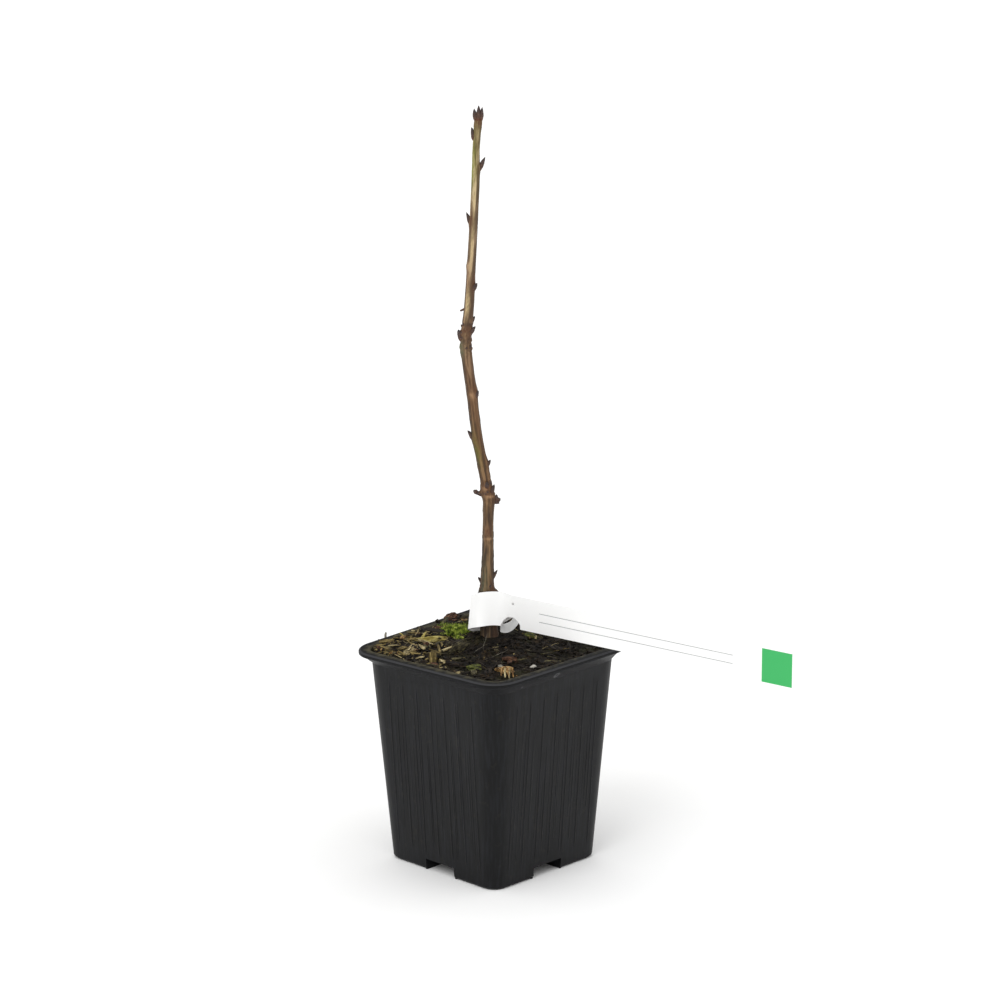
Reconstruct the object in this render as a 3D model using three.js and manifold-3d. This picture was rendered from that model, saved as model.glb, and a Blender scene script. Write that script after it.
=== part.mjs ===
// A young white currant in a square nursery pot, with a plastic loop label round its stem.
// Millimetres, +Z up. The origin is the middle of the pot's underside, on the ground,
// and the pot's walls run along X and Y.

import * as THREE from 'three';
import { mergeVertices } from 'three/addons/utils/BufferGeometryUtils.js';
import Module from 'manifold-3d';

const wasm = await Module();
wasm.setup();

// Clearance between two pieces that rest on each other, the margin of a hollow pressed in the
// compost, and how far a fused piece sinks in.
const gap = 0.3;
const bed = 0.4;
const sink = 0.4;
const degree = Math.PI / 180;
const up = new THREE.Vector3(0, 0, 1);

// The plant faces the pot's -X -Y corner. Plan angles are counted from +X towards +Y.
const facing = { right: -46, left: 134, front: 224, back: 44 };
const planVector = (angle) => new THREE.Vector3(Math.cos(angle * degree), Math.sin(angle * degree), 0);
const sideways = planVector(facing.right);
const forwards = planVector(facing.front);

// Pot: half widths of its square outlines, and their corner radii
const pot = {
  height: 100,
  wall: 0.9,
  floor: 1.2,
  footHalf: 33.6,
  footCorner: 6.8,
  footEdge: 1.2,
  shoulderHeight: 93.6,
  shoulderHalf: 40.65,
  shoulderCorner: 10.6,
  shoulderStep: 1.8,
  stepHeight: 96.2,
  rimHalf: 45,
  rimCorner: 12.5,
  rimThickness: 2,
  rimEdge: 0.5,
  mouthHalf: 39.8,
};

// The lip has sagged at its left corner: how far down and out, and where the sag begins and
// is full, both out from the pot's middle and up its wall
const sag = { drop: 2, out: 1.4, around: 135, reachFrom: 28, reachTo: 58, low: 88, high: 98 };

// Crossed drain channels under the floor, the middle foot where they meet, and their holes
const drain = { width: 17.5, height: 5.2, skin: 1, footRadius: 6, holeRadius: 3.5, holeReach: 20 };

// Upright ribs on each wall
const rib = { count: 7, pitch: 8.5, width: 0.9, rise: 0.35, low: 8, high: 87, runOut: 3 };

// Compost: its level at the front, the rise to the back, the heap round the stem, and crumbs
const compost = { level: 97, rise: 4.4, heap: 1.5, heapReach: 7, lump: 0.8, rings: 6, crumbs: 36 };

// Stem, from its flat cut at the compost to its tip. Each station is a height, the shift
// sideways, the shift forwards and the diameter there.
const stemStations = [
  [101, -1.4, 0, 8.4],
  [106, -1.6, 0, 7.8],
  [118, -2.3, 0.3, 6.7],
  [126, -2.6, 0.5, 6.2],
  [138, -2.3, 0.9, 5.5],
  [153, -2.1, 1.2, 4.8],
  [167, -2.1, 1.0, 4.8],
  [174, -2.8, 0.8, 4.9],
  [182, -4.3, 0.5, 4.9],
  [195, -6.8, 0.2, 4.7],
  [214, -9.1, -0.3, 4.7],
  [233, -11.4, -0.8, 5.0],
  [242, -11.5, -0.9, 4.8],
  [253, -10.4, -0.7, 4.4],
  [272, -9.3, -0.4, 3.9],
  [294, -8.1, 0, 3.5],
  [312, -7.3, 0.4, 3.3],
  [324, -7.1, 0.6, 2.9],
  [336.4, -6.2, 0.8, 3.0],
];
const stemSides = 12;
const stemSteps = 56;

// How far out from the stem's middle a bud or spur is rooted, as a share of the radius
const rootShare = 0.55;

// Knuckles where leaves and shoots stood: height, plan angle, swelling and half height
const knuckles = [
  { height: 124, around: facing.right, swell: 1.9, reach: 3.2 },
  { height: 124, around: facing.left, swell: 0.9, reach: 3 },
  { height: 151, around: facing.front, swell: 0.3, reach: 3 },
  { height: 168, around: facing.right, swell: 0.9, reach: 5 },
  { height: 171, around: facing.left, swell: 0.8, reach: 4 },
  { height: 184, around: facing.right, swell: 0.4, reach: 3 },
  { height: 194, around: facing.left, swell: 0.4, reach: 3 },
  { height: 216, around: facing.right, swell: 0.6, reach: 4 },
  { height: 234, around: facing.left, swell: 0.5, reach: 3 },
  { height: 241, around: facing.left, swell: 0.3, reach: 4 },
  { height: 247, around: facing.right, swell: 0.3, reach: 3 },
  { height: 263, around: facing.right, swell: 0.3, reach: 3 },
  { height: 272, around: facing.left, swell: 0.3, reach: 2.5 },
  { height: 291, around: facing.left, swell: 0.4, reach: 3 },
  { height: 315, around: facing.right, swell: 0.4, reach: 3 },
  { height: 334, around: facing.left, swell: 0.2, reach: 3 },
  { height: 334, around: facing.right, swell: 0.2, reach: 3 },
];

// Single buds: height of the root, plan angle, length, width, and the lean out from upright.
// Each name has the height of the bud's middle and the side that it is on.
const buds = [
  { name: 'bud_330_left', height: 327.4, around: facing.left, length: 6.2, width: 2, lean: 12 },
  { name: 'bud_317_right', height: 313.8, around: facing.right, length: 7.3, width: 1.9, lean: 25 },
  { name: 'bud_306_back', height: 303.4, around: facing.back, length: 5.6, width: 1.8, lean: 16 },
  { name: 'bud_293_left', height: 290.2, around: facing.left, length: 6.2, width: 1.8, lean: 20 },
  { name: 'bud_263_front', height: 261, around: facing.right - 34, length: 4.8, width: 2, lean: 34 },
  { name: 'bud_247_right', height: 246.4, around: facing.right, length: 3.9, width: 1.8, lean: 33 },
  { name: 'bud_242_right', height: 241.6, around: facing.right - 24, length: 5, width: 2, lean: 38 },
  { name: 'bud_240_left', height: 238.2, around: facing.left, length: 5.9, width: 2.8, lean: 22 },
  { name: 'bud_214_right', height: 213, around: facing.right - 30, length: 4.2, width: 1.9, lean: 26 },
  { name: 'bud_206_back', height: 202.4, around: facing.back, length: 5.6, width: 2, lean: 20 },
  { name: 'bud_195_left', height: 193.9, around: facing.left, length: 5.6, width: 2, lean: 35 },
  { name: 'bud_183_right', height: 182, around: facing.right, length: 3.8, width: 1.8, lean: 32 },
  { name: 'bud_175_front', height: 172.6, around: facing.front, length: 4.2, width: 1.9, lean: 32 },
  { name: 'bud_171_right', height: 169.4, around: facing.right - 26, length: 5.5, width: 2, lean: 21 },
  { name: 'bud_132_right', height: 129.8, around: facing.right, length: 5.9, width: 1.6, lean: 31 },
];

// Short woody spurs, each a stub with the buds that sit on it
const spurs = [
  {
    name: 'spur_253_left', height: 253.2, around: facing.left, length: 3, width: 1.1, lean: 116,
    tips: [],
  },
  {
    name: 'spur_169_left', height: 169, around: facing.left, length: 4.8, width: 2.2, lean: 70,
    tips: [{ along: 0.78, turn: -16, length: 1.9, width: 1.9 }],
  },
  {
    name: 'spur_166_right', height: 165.6, around: facing.right, length: 3.3, width: 2.6, lean: 66,
    tips: [
      { along: 0.66, turn: -58, length: 3.1, width: 2 },
      { along: 0.86, turn: -6, length: 1.8, width: 2 },
      { along: 0.58, turn: 54, length: 2.2, width: 1.8 },
    ],
  },
  {
    name: 'spur_129_left', height: 127, around: facing.left, length: 4.8, width: 1.3, lean: 26,
    tips: [],
  },
];

// The buds at the tip, fused in one cluster
const tipBuds = [
  { around: facing.right, shift: 0.1, length: 6.9, width: 2.1, lean: 1 },
  { around: facing.left, shift: 1.1, length: 5.6, width: 1.8, lean: 7 },
  { around: facing.right, shift: 1.1, length: 6.2, width: 1.8, lean: 6 },
];
const tipStub = { radius: 1.4, low: 0.2, high: 1.6 };

// Label: a strip that passes before the stem and loops round it. Its narrow end is tucked in
// behind the strip, hooked in a notch in the lower edge, under the small hole that ends a slit.
const label = {
  width: 15,
  thickness: 0.5,
  tailLength: 166.6,
  tailTurn: 25,
  tailDrop: 0.0718,
  frontSide: -3,
  frontForward: 4.7,
  frontHeight: 119.2,
  notchFrom: 7.2,
  notchTo: 16.9,
  notchRise: 4.4,
  holeAt: 13.2,
  holeLift: 3.6,
  holeRadius: 0.6,
  stepsPerSpan: 3,
};

// Bark on the compost: middle, height of the middle over the compost, size, and turns
const chips = [
  { name: 'bark_chip_yellow', x: -18, y: 21.4, lift: 0.5, size: [15, 3.2, 1.6], turn: -37, pitch: 2, roll: 12, paint: 'pale' },
  { name: 'bark_chip_tan', x: -32, y: 20, lift: 0.6, size: [11, 3.2, 1.6], turn: 14, pitch: -15, roll: 16, paint: 'pale' },
  { name: 'bark_chip_upright', x: -33.4, y: 4.6, lift: 1.6, size: [6.5, 2.6, 1.3], turn: 60, pitch: -58, roll: 0, paint: 'pale' },
  { name: 'bark_chip_grey', x: -31, y: -6.4, lift: 0.6, size: [8, 3.4, 1.6], turn: 100, pitch: 6, roll: -10, paint: 'dark' },
  { name: 'bark_ridge', x: -14.6, y: 4.4, lift: 0.9, size: [22, 4.4, 3], turn: 13, pitch: -2, roll: 8, paint: 'dark' },
  { name: 'bark_chip_orange', x: -20.6, y: -28, lift: 0.7, size: [8.6, 4.6, 2], turn: -12, pitch: 8, roll: 14, paint: 'warm' },
  { name: 'bark_chip_red', x: -10, y: -20.4, lift: 0.7, size: [7.4, 3.8, 1.8], turn: -30, pitch: 14, roll: -12, paint: 'warm' },
  { name: 'bark_spike', x: 27.6, y: 10.6, lift: 2.6, size: [9.5, 3.8, 1.8], turn: 50, pitch: -62, roll: 18, paint: 'dark' },
  { name: 'bark_chip_back', x: 11, y: 37.4, lift: 0.9, size: [6.4, 3.6, 1.6], turn: -8, pitch: -17, roll: 8, paint: 'dark' },
  { name: 'bark_chip_olive', x: 20, y: -5, lift: 0.6, size: [9, 3.4, 1.6], turn: -86, pitch: 4, roll: -14, paint: 'pale' },
  { name: 'bark_chip_right', x: 16.4, y: -22.6, lift: 0.5, size: [10, 4.6, 2], turn: 66, pitch: 4, roll: 10, paint: 'dark' },
  { name: 'bark_chip_front', x: -28.6, y: -16.6, lift: 0.5, size: [6.4, 4, 2], turn: -28, pitch: 6, roll: 10, paint: 'pale' },
];
const chipSpans = 4;
const perlite = { x: -8.1, y: -33.1, radius: 1.3 };

// Moss: a low clump of lobes beside the stem
const moss = { x: -3, y: 20.4, long: 4.8, short: 4, turn: -46, lobes: 10, lobeLow: 1.9, lobeHigh: 3 };

const paints = {
  pot: { color: 0x303133, roughness: 0.5, metalness: 0 },
  compost: { color: 0x2a231c, roughness: 0.95, metalness: 0 },
  bark: { color: 0x6f5236, roughness: 0.7, metalness: 0 },
  bud: { color: 0x4e3a34, roughness: 0.65, metalness: 0 },
  pale: { color: 0x9a8552, roughness: 0.85, metalness: 0 },
  warm: { color: 0xb4743a, roughness: 0.85, metalness: 0 },
  dark: { color: 0x3a3026, roughness: 0.9, metalness: 0 },
  moss: { color: 0x5f7f2a, roughness: 0.95, metalness: 0 },
  perlite: { color: 0xe9e6de, roughness: 0.9, metalness: 0 },
  label: { color: 0xf6f6f4, roughness: 0.4, metalness: 0 },
};

THREE.MathUtils.seededRandom(31);
function between(low, high) {
  return low + (high - low) * THREE.MathUtils.seededRandom();
}

// A closed geometry as a solid that can be joined and cut.
function toSolid(geometry) {
  const bare = geometry.clone();
  bare.deleteAttribute('normal');
  bare.deleteAttribute('uv');
  const merged = mergeVertices(bare, 1e-4);
  const corners = merged.index.array;
  const triangles = [];
  for (let i = 0; i < corners.length; i += 3) {
    const [a, b, c] = [corners[i], corners[i + 1], corners[i + 2]];
    if (a !== b && b !== c && c !== a) {
      triangles.push(a, b, c);
    }
  }
  return new wasm.Manifold(new wasm.Mesh({
    numProp: 3,
    vertProperties: Float32Array.from(merged.attributes.position.array),
    triVerts: Uint32Array.from(triangles),
  }));
}

// The largest single body of a solid, so that no crumb is left loose by a cut.
function wholeBody(solid) {
  const bodies = solid.decompose();
  bodies.sort((first, second) => second.volume() - first.volume());
  return bodies[0];
}

function toMesh(name, solid, paint) {
  const { vertProperties, triVerts } = wholeBody(solid).getMesh();
  const geometry = new THREE.BufferGeometry();
  geometry.setAttribute('position', new THREE.BufferAttribute(vertProperties, 3));
  geometry.setIndex(new THREE.BufferAttribute(triVerts, 1));
  geometry.computeVertexNormals();
  const mesh = new THREE.Mesh(geometry, new THREE.MeshStandardMaterial(paints[paint]));
  mesh.name = name;
  return mesh;
}

// Moves each vertex of a geometry to where a function puts it.
function reshape(geometry, place) {
  const position = geometry.attributes.position;
  const vertex = new THREE.Vector3();
  for (let i = 0; i < position.count; i++) {
    vertex.fromBufferAttribute(position, i);
    const moved = place(vertex, i);
    position.setXYZ(i, moved.x, moved.y, moved.z);
  }
  return geometry;
}

function box(lengthX, lengthY, lengthZ, x, y, z) {
  const geometry = new THREE.BoxGeometry(lengthX, lengthY, lengthZ);
  return toSolid(geometry.translate(x, y, z));
}

function post(radius, low, high, x, y) {
  const geometry = new THREE.CylinderGeometry(radius, radius, high - low, 16);
  geometry.rotateX(90 * degree);
  return toSolid(geometry.translate(x, y, (low + high) / 2));
}

// A lathe drawn out to a square with round corners. Each row of the profile is a half width,
// a height and a corner radius.
function squareLathe(profile, cornerSteps, sideSteps) {
  const quarter = cornerSteps + sideSteps;
  const columns = 4 * quarter;
  const outline = profile.map(([half, height]) => new THREE.Vector2(half, height));
  const geometry = new THREE.LatheGeometry(outline, columns);

  const onArc = (half, radius, corner, step) => {
    const middle = (corner + 0.5) * 90 * degree;
    const turn = (corner + step / cornerSteps) * 90 * degree;
    const inset = half - radius;
    return new THREE.Vector2(
      Math.sign(Math.cos(middle)) * inset + radius * Math.cos(turn),
      Math.sign(Math.sin(middle)) * inset + radius * Math.sin(turn),
    );
  };

  return reshape(geometry, (vertex, i) => {
    const [half, height, radius] = profile[i % profile.length];
    const column = Math.floor(i / profile.length) % columns;
    const corner = Math.floor(column / quarter);
    const step = column % quarter;
    if (step <= cornerSteps) {
      const point = onArc(half, radius, corner, step);
      return new THREE.Vector3(point.x, point.y, height);
    }
    const start = onArc(half, radius, corner, cornerSteps);
    const end = onArc(half, radius, (corner + 1) % 4, 0);
    const point = start.lerp(end, (step - cornerSteps) / sideSteps);
    return new THREE.Vector3(point.x, point.y, height);
  });
}

function wallHalfAt(height) {
  return pot.footHalf + (pot.shoulderHalf - pot.footHalf) * height / pot.shoulderHeight;
}

function wallCornerAt(height) {
  return pot.footCorner + (pot.shoulderCorner - pot.footCorner) * height / pot.shoulderHeight;
}

// One upright rib on the wall that faces +X, with both ends run out into the wall.
function makeRib(offset) {
  const low = rib.low;
  const high = rib.high;
  const profile = new THREE.Shape([
    new THREE.Vector2(wallHalfAt(low) - sink, low),
    new THREE.Vector2(wallHalfAt(low), low),
    new THREE.Vector2(wallHalfAt(low + rib.runOut) + rib.rise, low + rib.runOut),
    new THREE.Vector2(wallHalfAt(high - rib.runOut) + rib.rise, high - rib.runOut),
    new THREE.Vector2(wallHalfAt(high), high),
    new THREE.Vector2(wallHalfAt(high) - sink, high),
  ]);
  const geometry = new THREE.ExtrudeGeometry(profile, { depth: rib.width, bevelEnabled: false });
  geometry.translate(0, 0, -rib.width / 2);
  geometry.rotateX(90 * degree);
  return geometry.translate(0, offset, 0);
}

function makePot() {
  const lipUnder = pot.height - pot.rimThickness;
  const mouthCorner = pot.rimCorner - (pot.rimHalf - pot.mouthHalf);
  const stepHalf = pot.shoulderHalf + pot.shoulderStep;
  const stepCorner = pot.shoulderCorner + pot.shoulderStep;
  const edge = pot.rimEdge;
  let solid = toSolid(squareLathe([
    [0, 0, 0],
    [pot.footHalf - pot.footEdge, 0, pot.footCorner - pot.footEdge],
    [wallHalfAt(pot.footEdge), pot.footEdge, wallCornerAt(pot.footEdge)],
    [pot.shoulderHalf, pot.shoulderHeight, pot.shoulderCorner],
    [stepHalf, pot.stepHeight, stepCorner],
    [stepHalf, lipUnder, stepCorner],
    [pot.rimHalf - edge / 2, lipUnder, pot.rimCorner - edge / 2],
    [pot.rimHalf, lipUnder + edge / 2, pot.rimCorner],
    [pot.rimHalf, pot.height - edge, pot.rimCorner],
    [pot.rimHalf - edge, pot.height, pot.rimCorner - edge],
    [pot.mouthHalf + edge, pot.height, mouthCorner + edge],
    [pot.mouthHalf, pot.height - edge, mouthCorner],
    [pot.shoulderHalf - pot.wall, pot.shoulderHeight, pot.shoulderCorner - pot.wall],
    [wallHalfAt(pot.floor) - pot.wall, pot.floor, wallCornerAt(pot.floor) - pot.wall],
    [0, pot.floor, 0],
  ], 6, 1));

  const roofWidth = drain.width + 2 * drain.skin;
  const roofHeight = drain.height + drain.skin;
  const roofLength = 2 * (pot.footHalf - pot.wall / 2);
  solid = solid.add(box(roofLength, roofWidth, roofHeight, 0, 0, roofHeight / 2));
  solid = solid.add(box(roofWidth, roofLength, roofHeight, 0, 0, roofHeight / 2));
  const cutHeight = drain.height + 1;
  const cutLength = 2 * pot.rimHalf;
  solid = solid.subtract(box(cutLength, drain.width, cutHeight, 0, 0, drain.height - cutHeight / 2));
  solid = solid.subtract(box(drain.width, cutLength, cutHeight, 0, 0, drain.height - cutHeight / 2));
  solid = solid.add(post(drain.footRadius, 0, drain.height + sink, 0, 0));
  for (const arm of [0, 90, 180, 270]) {
    const middle = planVector(arm).multiplyScalar(drain.holeReach);
    const hole = post(drain.holeRadius, drain.height - 1, roofHeight + 1, middle.x, middle.y);
    solid = solid.subtract(hole);
  }

  for (let side = 0; side < 4; side++) {
    for (let i = 0; i < rib.count; i++) {
      const offset = (i - (rib.count - 1) / 2) * rib.pitch;
      solid = solid.add(toSolid(makeRib(offset).rotateZ(side * 90 * degree)));
    }
  }

  const outwards = planVector(sag.around);
  return solid.warp((place) => {
    const reach = place[0] * outwards.x + place[1] * outwards.y;
    const share = THREE.MathUtils.smoothstep(reach, sag.reachFrom, sag.reachTo)
      * THREE.MathUtils.smoothstep(place[2], sag.low, sag.high);
    place[0] += outwards.x * sag.out * share;
    place[1] += outwards.y * sag.out * share;
    place[2] -= sag.drop * share;
  });
}

// Height of the compost at a place, without its lumps. It rises to the back, over the rim
// there, and falls to both sides.
function compostLevel(x, y) {
  const toFront = (pot.mouthHalf - y) / (2 * pot.mouthHalf);
  const toSide = Math.abs(x) / pot.mouthHalf;
  const rise = compost.rise * (1 - toFront * toFront) * (1 - toSide * toSide * toSide);
  const apart = Math.hypot(x, y) / compost.heapReach;
  return compost.level + rise + compost.heap * Math.exp(-apart * apart);
}

function makeCompostFill() {
  const halfAt = (height) => wallHalfAt(height) - pot.wall - gap;
  const cornerAt = (height) => wallCornerAt(height) - pot.wall - gap;
  const foot = pot.floor + gap;
  const neck = pot.shoulderHeight;
  const top = compost.level;
  const profile = [
    [0, foot, 0],
    [halfAt(foot), foot, cornerAt(foot)],
    [halfAt(neck), neck, cornerAt(neck)],
    [halfAt(neck), top, cornerAt(neck)],
  ];
  const edgeRow = profile.length - 1;
  for (let ring = compost.rings - 1; ring >= 0; ring--) {
    const share = ring / compost.rings;
    profile.push([halfAt(neck) * share, top, cornerAt(neck) * share]);
  }
  const cornerSteps = 2;
  const sideSteps = 6;
  const columns = 4 * (cornerSteps + sideSteps);
  const rows = profile.length;
  const lumps = Array.from({ length: columns * rows }, () => between(-compost.lump, compost.lump));

  const geometry = reshape(squareLathe(profile, cornerSteps, sideSteps), (vertex, i) => {
    const row = i % rows;
    const column = Math.floor(i / rows) % columns;
    if (row >= edgeRow) {
      const smooth = row === edgeRow || row === rows - 1;
      vertex.z = compostLevel(vertex.x, vertex.y) + (smooth ? 0 : lumps[column * rows + row]);
    }
    return vertex;
  });

  const roofWidth = drain.width + 2 * drain.skin + 2 * gap;
  const roofTop = drain.height + drain.skin + gap;
  const long = 2 * pot.rimHalf;
  return toSolid(geometry)
    .subtract(box(long, roofWidth, roofTop, 0, 0, roofTop / 2))
    .subtract(box(roofWidth, long, roofTop, 0, 0, roofTop / 2));
}

// A bark bit: a plank whose ends are narrower and thinner than its middle.
function plank([length, width, thick], grow, spans) {
  const geometry = new THREE.BoxGeometry(length + 2 * grow, width + 2 * grow, thick + 2 * grow, spans, 1, 1);
  return reshape(geometry, (vertex) => {
    const end = Math.abs(vertex.x) / (length / 2 + grow);
    const keep = 1 - 0.5 * end * end;
    return new THREE.Vector3(vertex.x, vertex.y * keep, vertex.z * keep);
  });
}

function laidPlank(bit, grow, spans) {
  const geometry = plank(bit.size, grow, spans);
  geometry.rotateX(bit.roll * degree);
  geometry.rotateY(bit.pitch * degree);
  geometry.rotateZ(bit.turn * degree);
  return toSolid(geometry.translate(bit.x, bit.y, compostLevel(bit.x, bit.y) + bit.lift));
}

// Loose crumbs of bark, each a small plank half sunk in the compost.
function withCrumbs(solid) {
  const reach = pot.mouthHalf - 6;
  let crumbed = solid;
  for (let i = 0; i < compost.crumbs; i++) {
    crumbed = crumbed.add(laidPlank({
      x: between(-reach, reach),
      y: between(-reach, reach),
      lift: between(0, 0.5),
      size: [between(3, 8), between(1.4, 3.2), between(1.2, 2.4)],
      turn: between(0, 360),
      pitch: between(-24, 24),
      roll: between(-40, 40),
    }, 0, 2));
  }
  return crumbed;
}

const stemLine = new THREE.CatmullRomCurve3(stemStations.map(([height, side, forward]) => {
  const point = sideways.clone().multiplyScalar(side);
  return point.addScaledVector(forwards, forward).setZ(height);
}));

function stemAt(share) {
  const place = share * (stemStations.length - 1);
  const low = Math.min(Math.floor(place), stemStations.length - 2);
  const radius = THREE.MathUtils.lerp(stemStations[low][3], stemStations[low + 1][3], place - low) / 2;
  return { centre: stemLine.getPoint(share), radius };
}

function stemAtHeight(height) {
  let low = 0;
  let high = 1;
  for (let i = 0; i < 30; i++) {
    const middle = (low + high) / 2;
    if (stemLine.getPoint(middle).z < height) {
      low = middle;
    } else {
      high = middle;
    }
  }
  return stemAt(low);
}

// How far the knuckles swell the stem out at a height and a plan angle.
function swellAt(height, angle) {
  let swell = 0;
  for (const knuckle of knuckles) {
    const rise = (height - knuckle.height) / knuckle.reach;
    const towards = Math.max(0, Math.cos((angle - knuckle.around) * degree));
    swell += knuckle.swell * Math.exp(-rise * rise * 2) * towards;
  }
  return swell;
}

// The stem, or the same shape with a margin round it for seating what touches it.
function makeStem(margin) {
  const geometry = new THREE.CylinderGeometry(1, 1, 1, stemSides, stemSteps).rotateX(90 * degree);
  return toSolid(reshape(geometry, (vertex) => {
    const share = vertex.z + 0.5;
    const { centre, radius } = stemAt(share);
    const out = Math.hypot(vertex.x, vertex.y);
    const angle = Math.atan2(vertex.y, vertex.x) / degree;
    const reach = out > 0.5 ? (radius + swellAt(centre.z, angle) + margin) / out : 0;
    const end = share < 1e-6 ? -margin : share > 1 - 1e-6 ? margin : 0;
    return new THREE.Vector3(centre.x + vertex.x * reach, centre.y + vertex.y * reach, centre.z + end);
  }));
}

// A pointed bud standing on its foot at the origin.
function budShape(length, width) {
  const outline = [[0, 0], [0.34, 0], [0.5, 0.3], [0.43, 0.58], [0.2, 0.86], [0, 1]];
  const points = outline.map(([out, along]) => new THREE.Vector2(out * width, along * length));
  return new THREE.LatheGeometry(points, 7).rotateX(90 * degree);
}

// Turns a shape that stands along +Z to lean out at a plan angle, and moves its foot.
function leanOut(geometry, lean, around, foot) {
  geometry.rotateY(lean * degree);
  geometry.rotateZ(around * degree);
  return geometry.translate(foot.x, foot.y, foot.z);
}

// The point inside the stem where a bud or spur is rooted.
function rootPoint(height, around) {
  const { centre, radius } = stemAtHeight(height);
  return centre.addScaledVector(planVector(around), radius * rootShare);
}

function makeBud(bud) {
  const foot = rootPoint(bud.height, bud.around);
  return toSolid(leanOut(budShape(bud.length, bud.width), bud.lean, bud.around, foot));
}

function makeSpur(spur) {
  const stub = new THREE.CylinderGeometry(spur.width * 0.4, spur.width * 0.5, spur.length + 1.5, 8);
  stub.rotateX(90 * degree);
  stub.translate(0, 0, (spur.length - 1.5) / 2);
  const foot = rootPoint(spur.height, spur.around);
  let solid = toSolid(leanOut(stub, spur.lean, spur.around, foot));
  for (const tip of spur.tips) {
    const shape = budShape(tip.length, tip.width);
    shape.rotateY(tip.turn * degree);
    shape.translate(0, 0, spur.length * tip.along);
    solid = solid.add(toSolid(leanOut(shape, spur.lean, spur.around, foot)));
  }
  return solid;
}

function makeTipBuds() {
  const top = stemLine.getPoint(1);
  let solid = post(tipStub.radius, top.z - tipStub.low, top.z + tipStub.high, top.x, top.y);
  for (const bud of tipBuds) {
    const foot = top.clone().addScaledVector(planVector(bud.around), bud.shift);
    foot.z -= sink;
    solid = solid.add(toSolid(leanOut(budShape(bud.length, bud.width), bud.lean, bud.around, foot)));
  }
  return solid;
}

function makeMoss(grow) {
  const middle = new THREE.Vector3(moss.x, moss.y, 0);
  let solid = null;
  for (let i = 0; i < moss.lobes; i++) {
    const angle = i * 137.5 * degree;
    const share = Math.sqrt(i / moss.lobes);
    const radius = moss.lobeHigh - (moss.lobeHigh - moss.lobeLow) * share;
    const lobe = new THREE.IcosahedronGeometry(radius + grow, 1);
    const offset = new THREE.Vector3(Math.cos(angle) * share * moss.long, Math.sin(angle) * share * moss.short, 0);
    const place = offset.applyAxisAngle(up, moss.turn * degree).add(middle);
    const height = compostLevel(place.x, place.y) + 0.3 * radius;
    const piece = toSolid(lobe.scale(1, 1, 0.75).translate(place.x, place.y, height));
    solid = solid ? solid.add(piece) : piece;
  }
  return solid;
}

// The middle of the label's tail, at a reach from where it passes the stem.
function onTail(reach) {
  const point = sideways.clone().multiplyScalar(label.frontSide);
  point.addScaledVector(forwards, label.frontForward).setZ(label.frontHeight - label.tailDrop * reach);
  return point.addScaledVector(planVector(facing.right - label.tailTurn), reach);
}

// The label's middle line with its widths. The tail runs from its far end to the stem, the loop
// goes round behind the stem, lower there, and its end comes forward again and narrows.
function labelStations() {
  const around = (side, forward, height) => {
    return sideways.clone().multiplyScalar(side).addScaledVector(forwards, forward).setZ(height);
  };
  const towards = (lean, side) => {
    return up.clone().addScaledVector(forwards, lean).addScaledVector(sideways, side).normalize();
  };
  const upright = towards(0, 0);
  const leaning = towards(-0.2, 0.05);
  const tilted = towards(-0.36, 0.1);
  const full = label.width;
  const tail = [label.tailLength, 125, 85, 45, 24, 17, 12].map((reach) => {
    return { centre: onTail(reach), across: upright, width: full };
  });
  return [
    ...tail,
    { centre: onTail(6), across: leaning, width: full },
    { centre: around(-2.8, 6.4, 118.4), across: leaning, width: full },
    { centre: around(-7.4, 4.6, 117), across: tilted, width: full },
    { centre: around(-10.1, 0.2, 114.8), across: tilted, width: full },
    { centre: around(-8.6, -4.8, 112.4), across: tilted, width: full },
    { centre: around(-4, -7.7, 111.6), across: tilted, width: 14 },
    { centre: around(2.6, -7.7, 113), across: leaning, width: 11.5 },
    { centre: around(8.2, -4.8, 115), across: upright, width: 8.4 },
    { centre: around(10.9, -0.4, 114), across: upright, width: 7 },
    { centre: around(9.2, 3, 110.4), across: towards(0.1, 0), width: 4.2 },
    { centre: around(6, 4.3, 108.8), across: towards(0.2, 0), width: 4.5 },
    { centre: around(3.4, 4.2, 108.9), across: towards(0.2, 0), width: 4 },
  ];
}

// A flat strip bent along stations, its width and its turn blended between them.
function ribbon(stations, thickness) {
  const line = new THREE.CatmullRomCurve3(stations.map((station) => station.centre), false, 'centripetal');
  const spans = stations.length - 1;
  const geometry = new THREE.BoxGeometry(1, 1, 1, spans * label.stepsPerSpan, 1, 1);
  return reshape(geometry, (vertex) => {
    const share = vertex.x + 0.5;
    const place = share * spans;
    const low = Math.min(Math.floor(place + 1e-6), spans - 1);
    const centre = line.getPoint(share);
    const tangent = line.getTangent(share);
    const across = stations[low].across.clone().lerp(stations[low + 1].across, place - low);
    across.addScaledVector(tangent, -across.dot(tangent)).normalize();
    const outwards = new THREE.Vector3().crossVectors(across, tangent);
    const width = THREE.MathUtils.lerp(stations[low].width, stations[low + 1].width, place - low);
    return centre.addScaledVector(across, vertex.z * width).addScaledVector(outwards, vertex.y * thickness);
  });
}

// Turns a cutter drawn in the tail's plane, pushed out along +Z, to stand across the strip.
function acrossTail(cutter, reach) {
  const depth = 4;
  const geometry = new THREE.ExtrudeGeometry(cutter, { depth, bevelEnabled: false, curveSegments: 6 });
  geometry.translate(0, 0, -depth / 2);
  geometry.rotateX(90 * degree);
  geometry.rotateZ((facing.right - label.tailTurn) * degree);
  const middle = onTail(reach);
  return toSolid(geometry.translate(middle.x, middle.y, middle.z));
}

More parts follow.
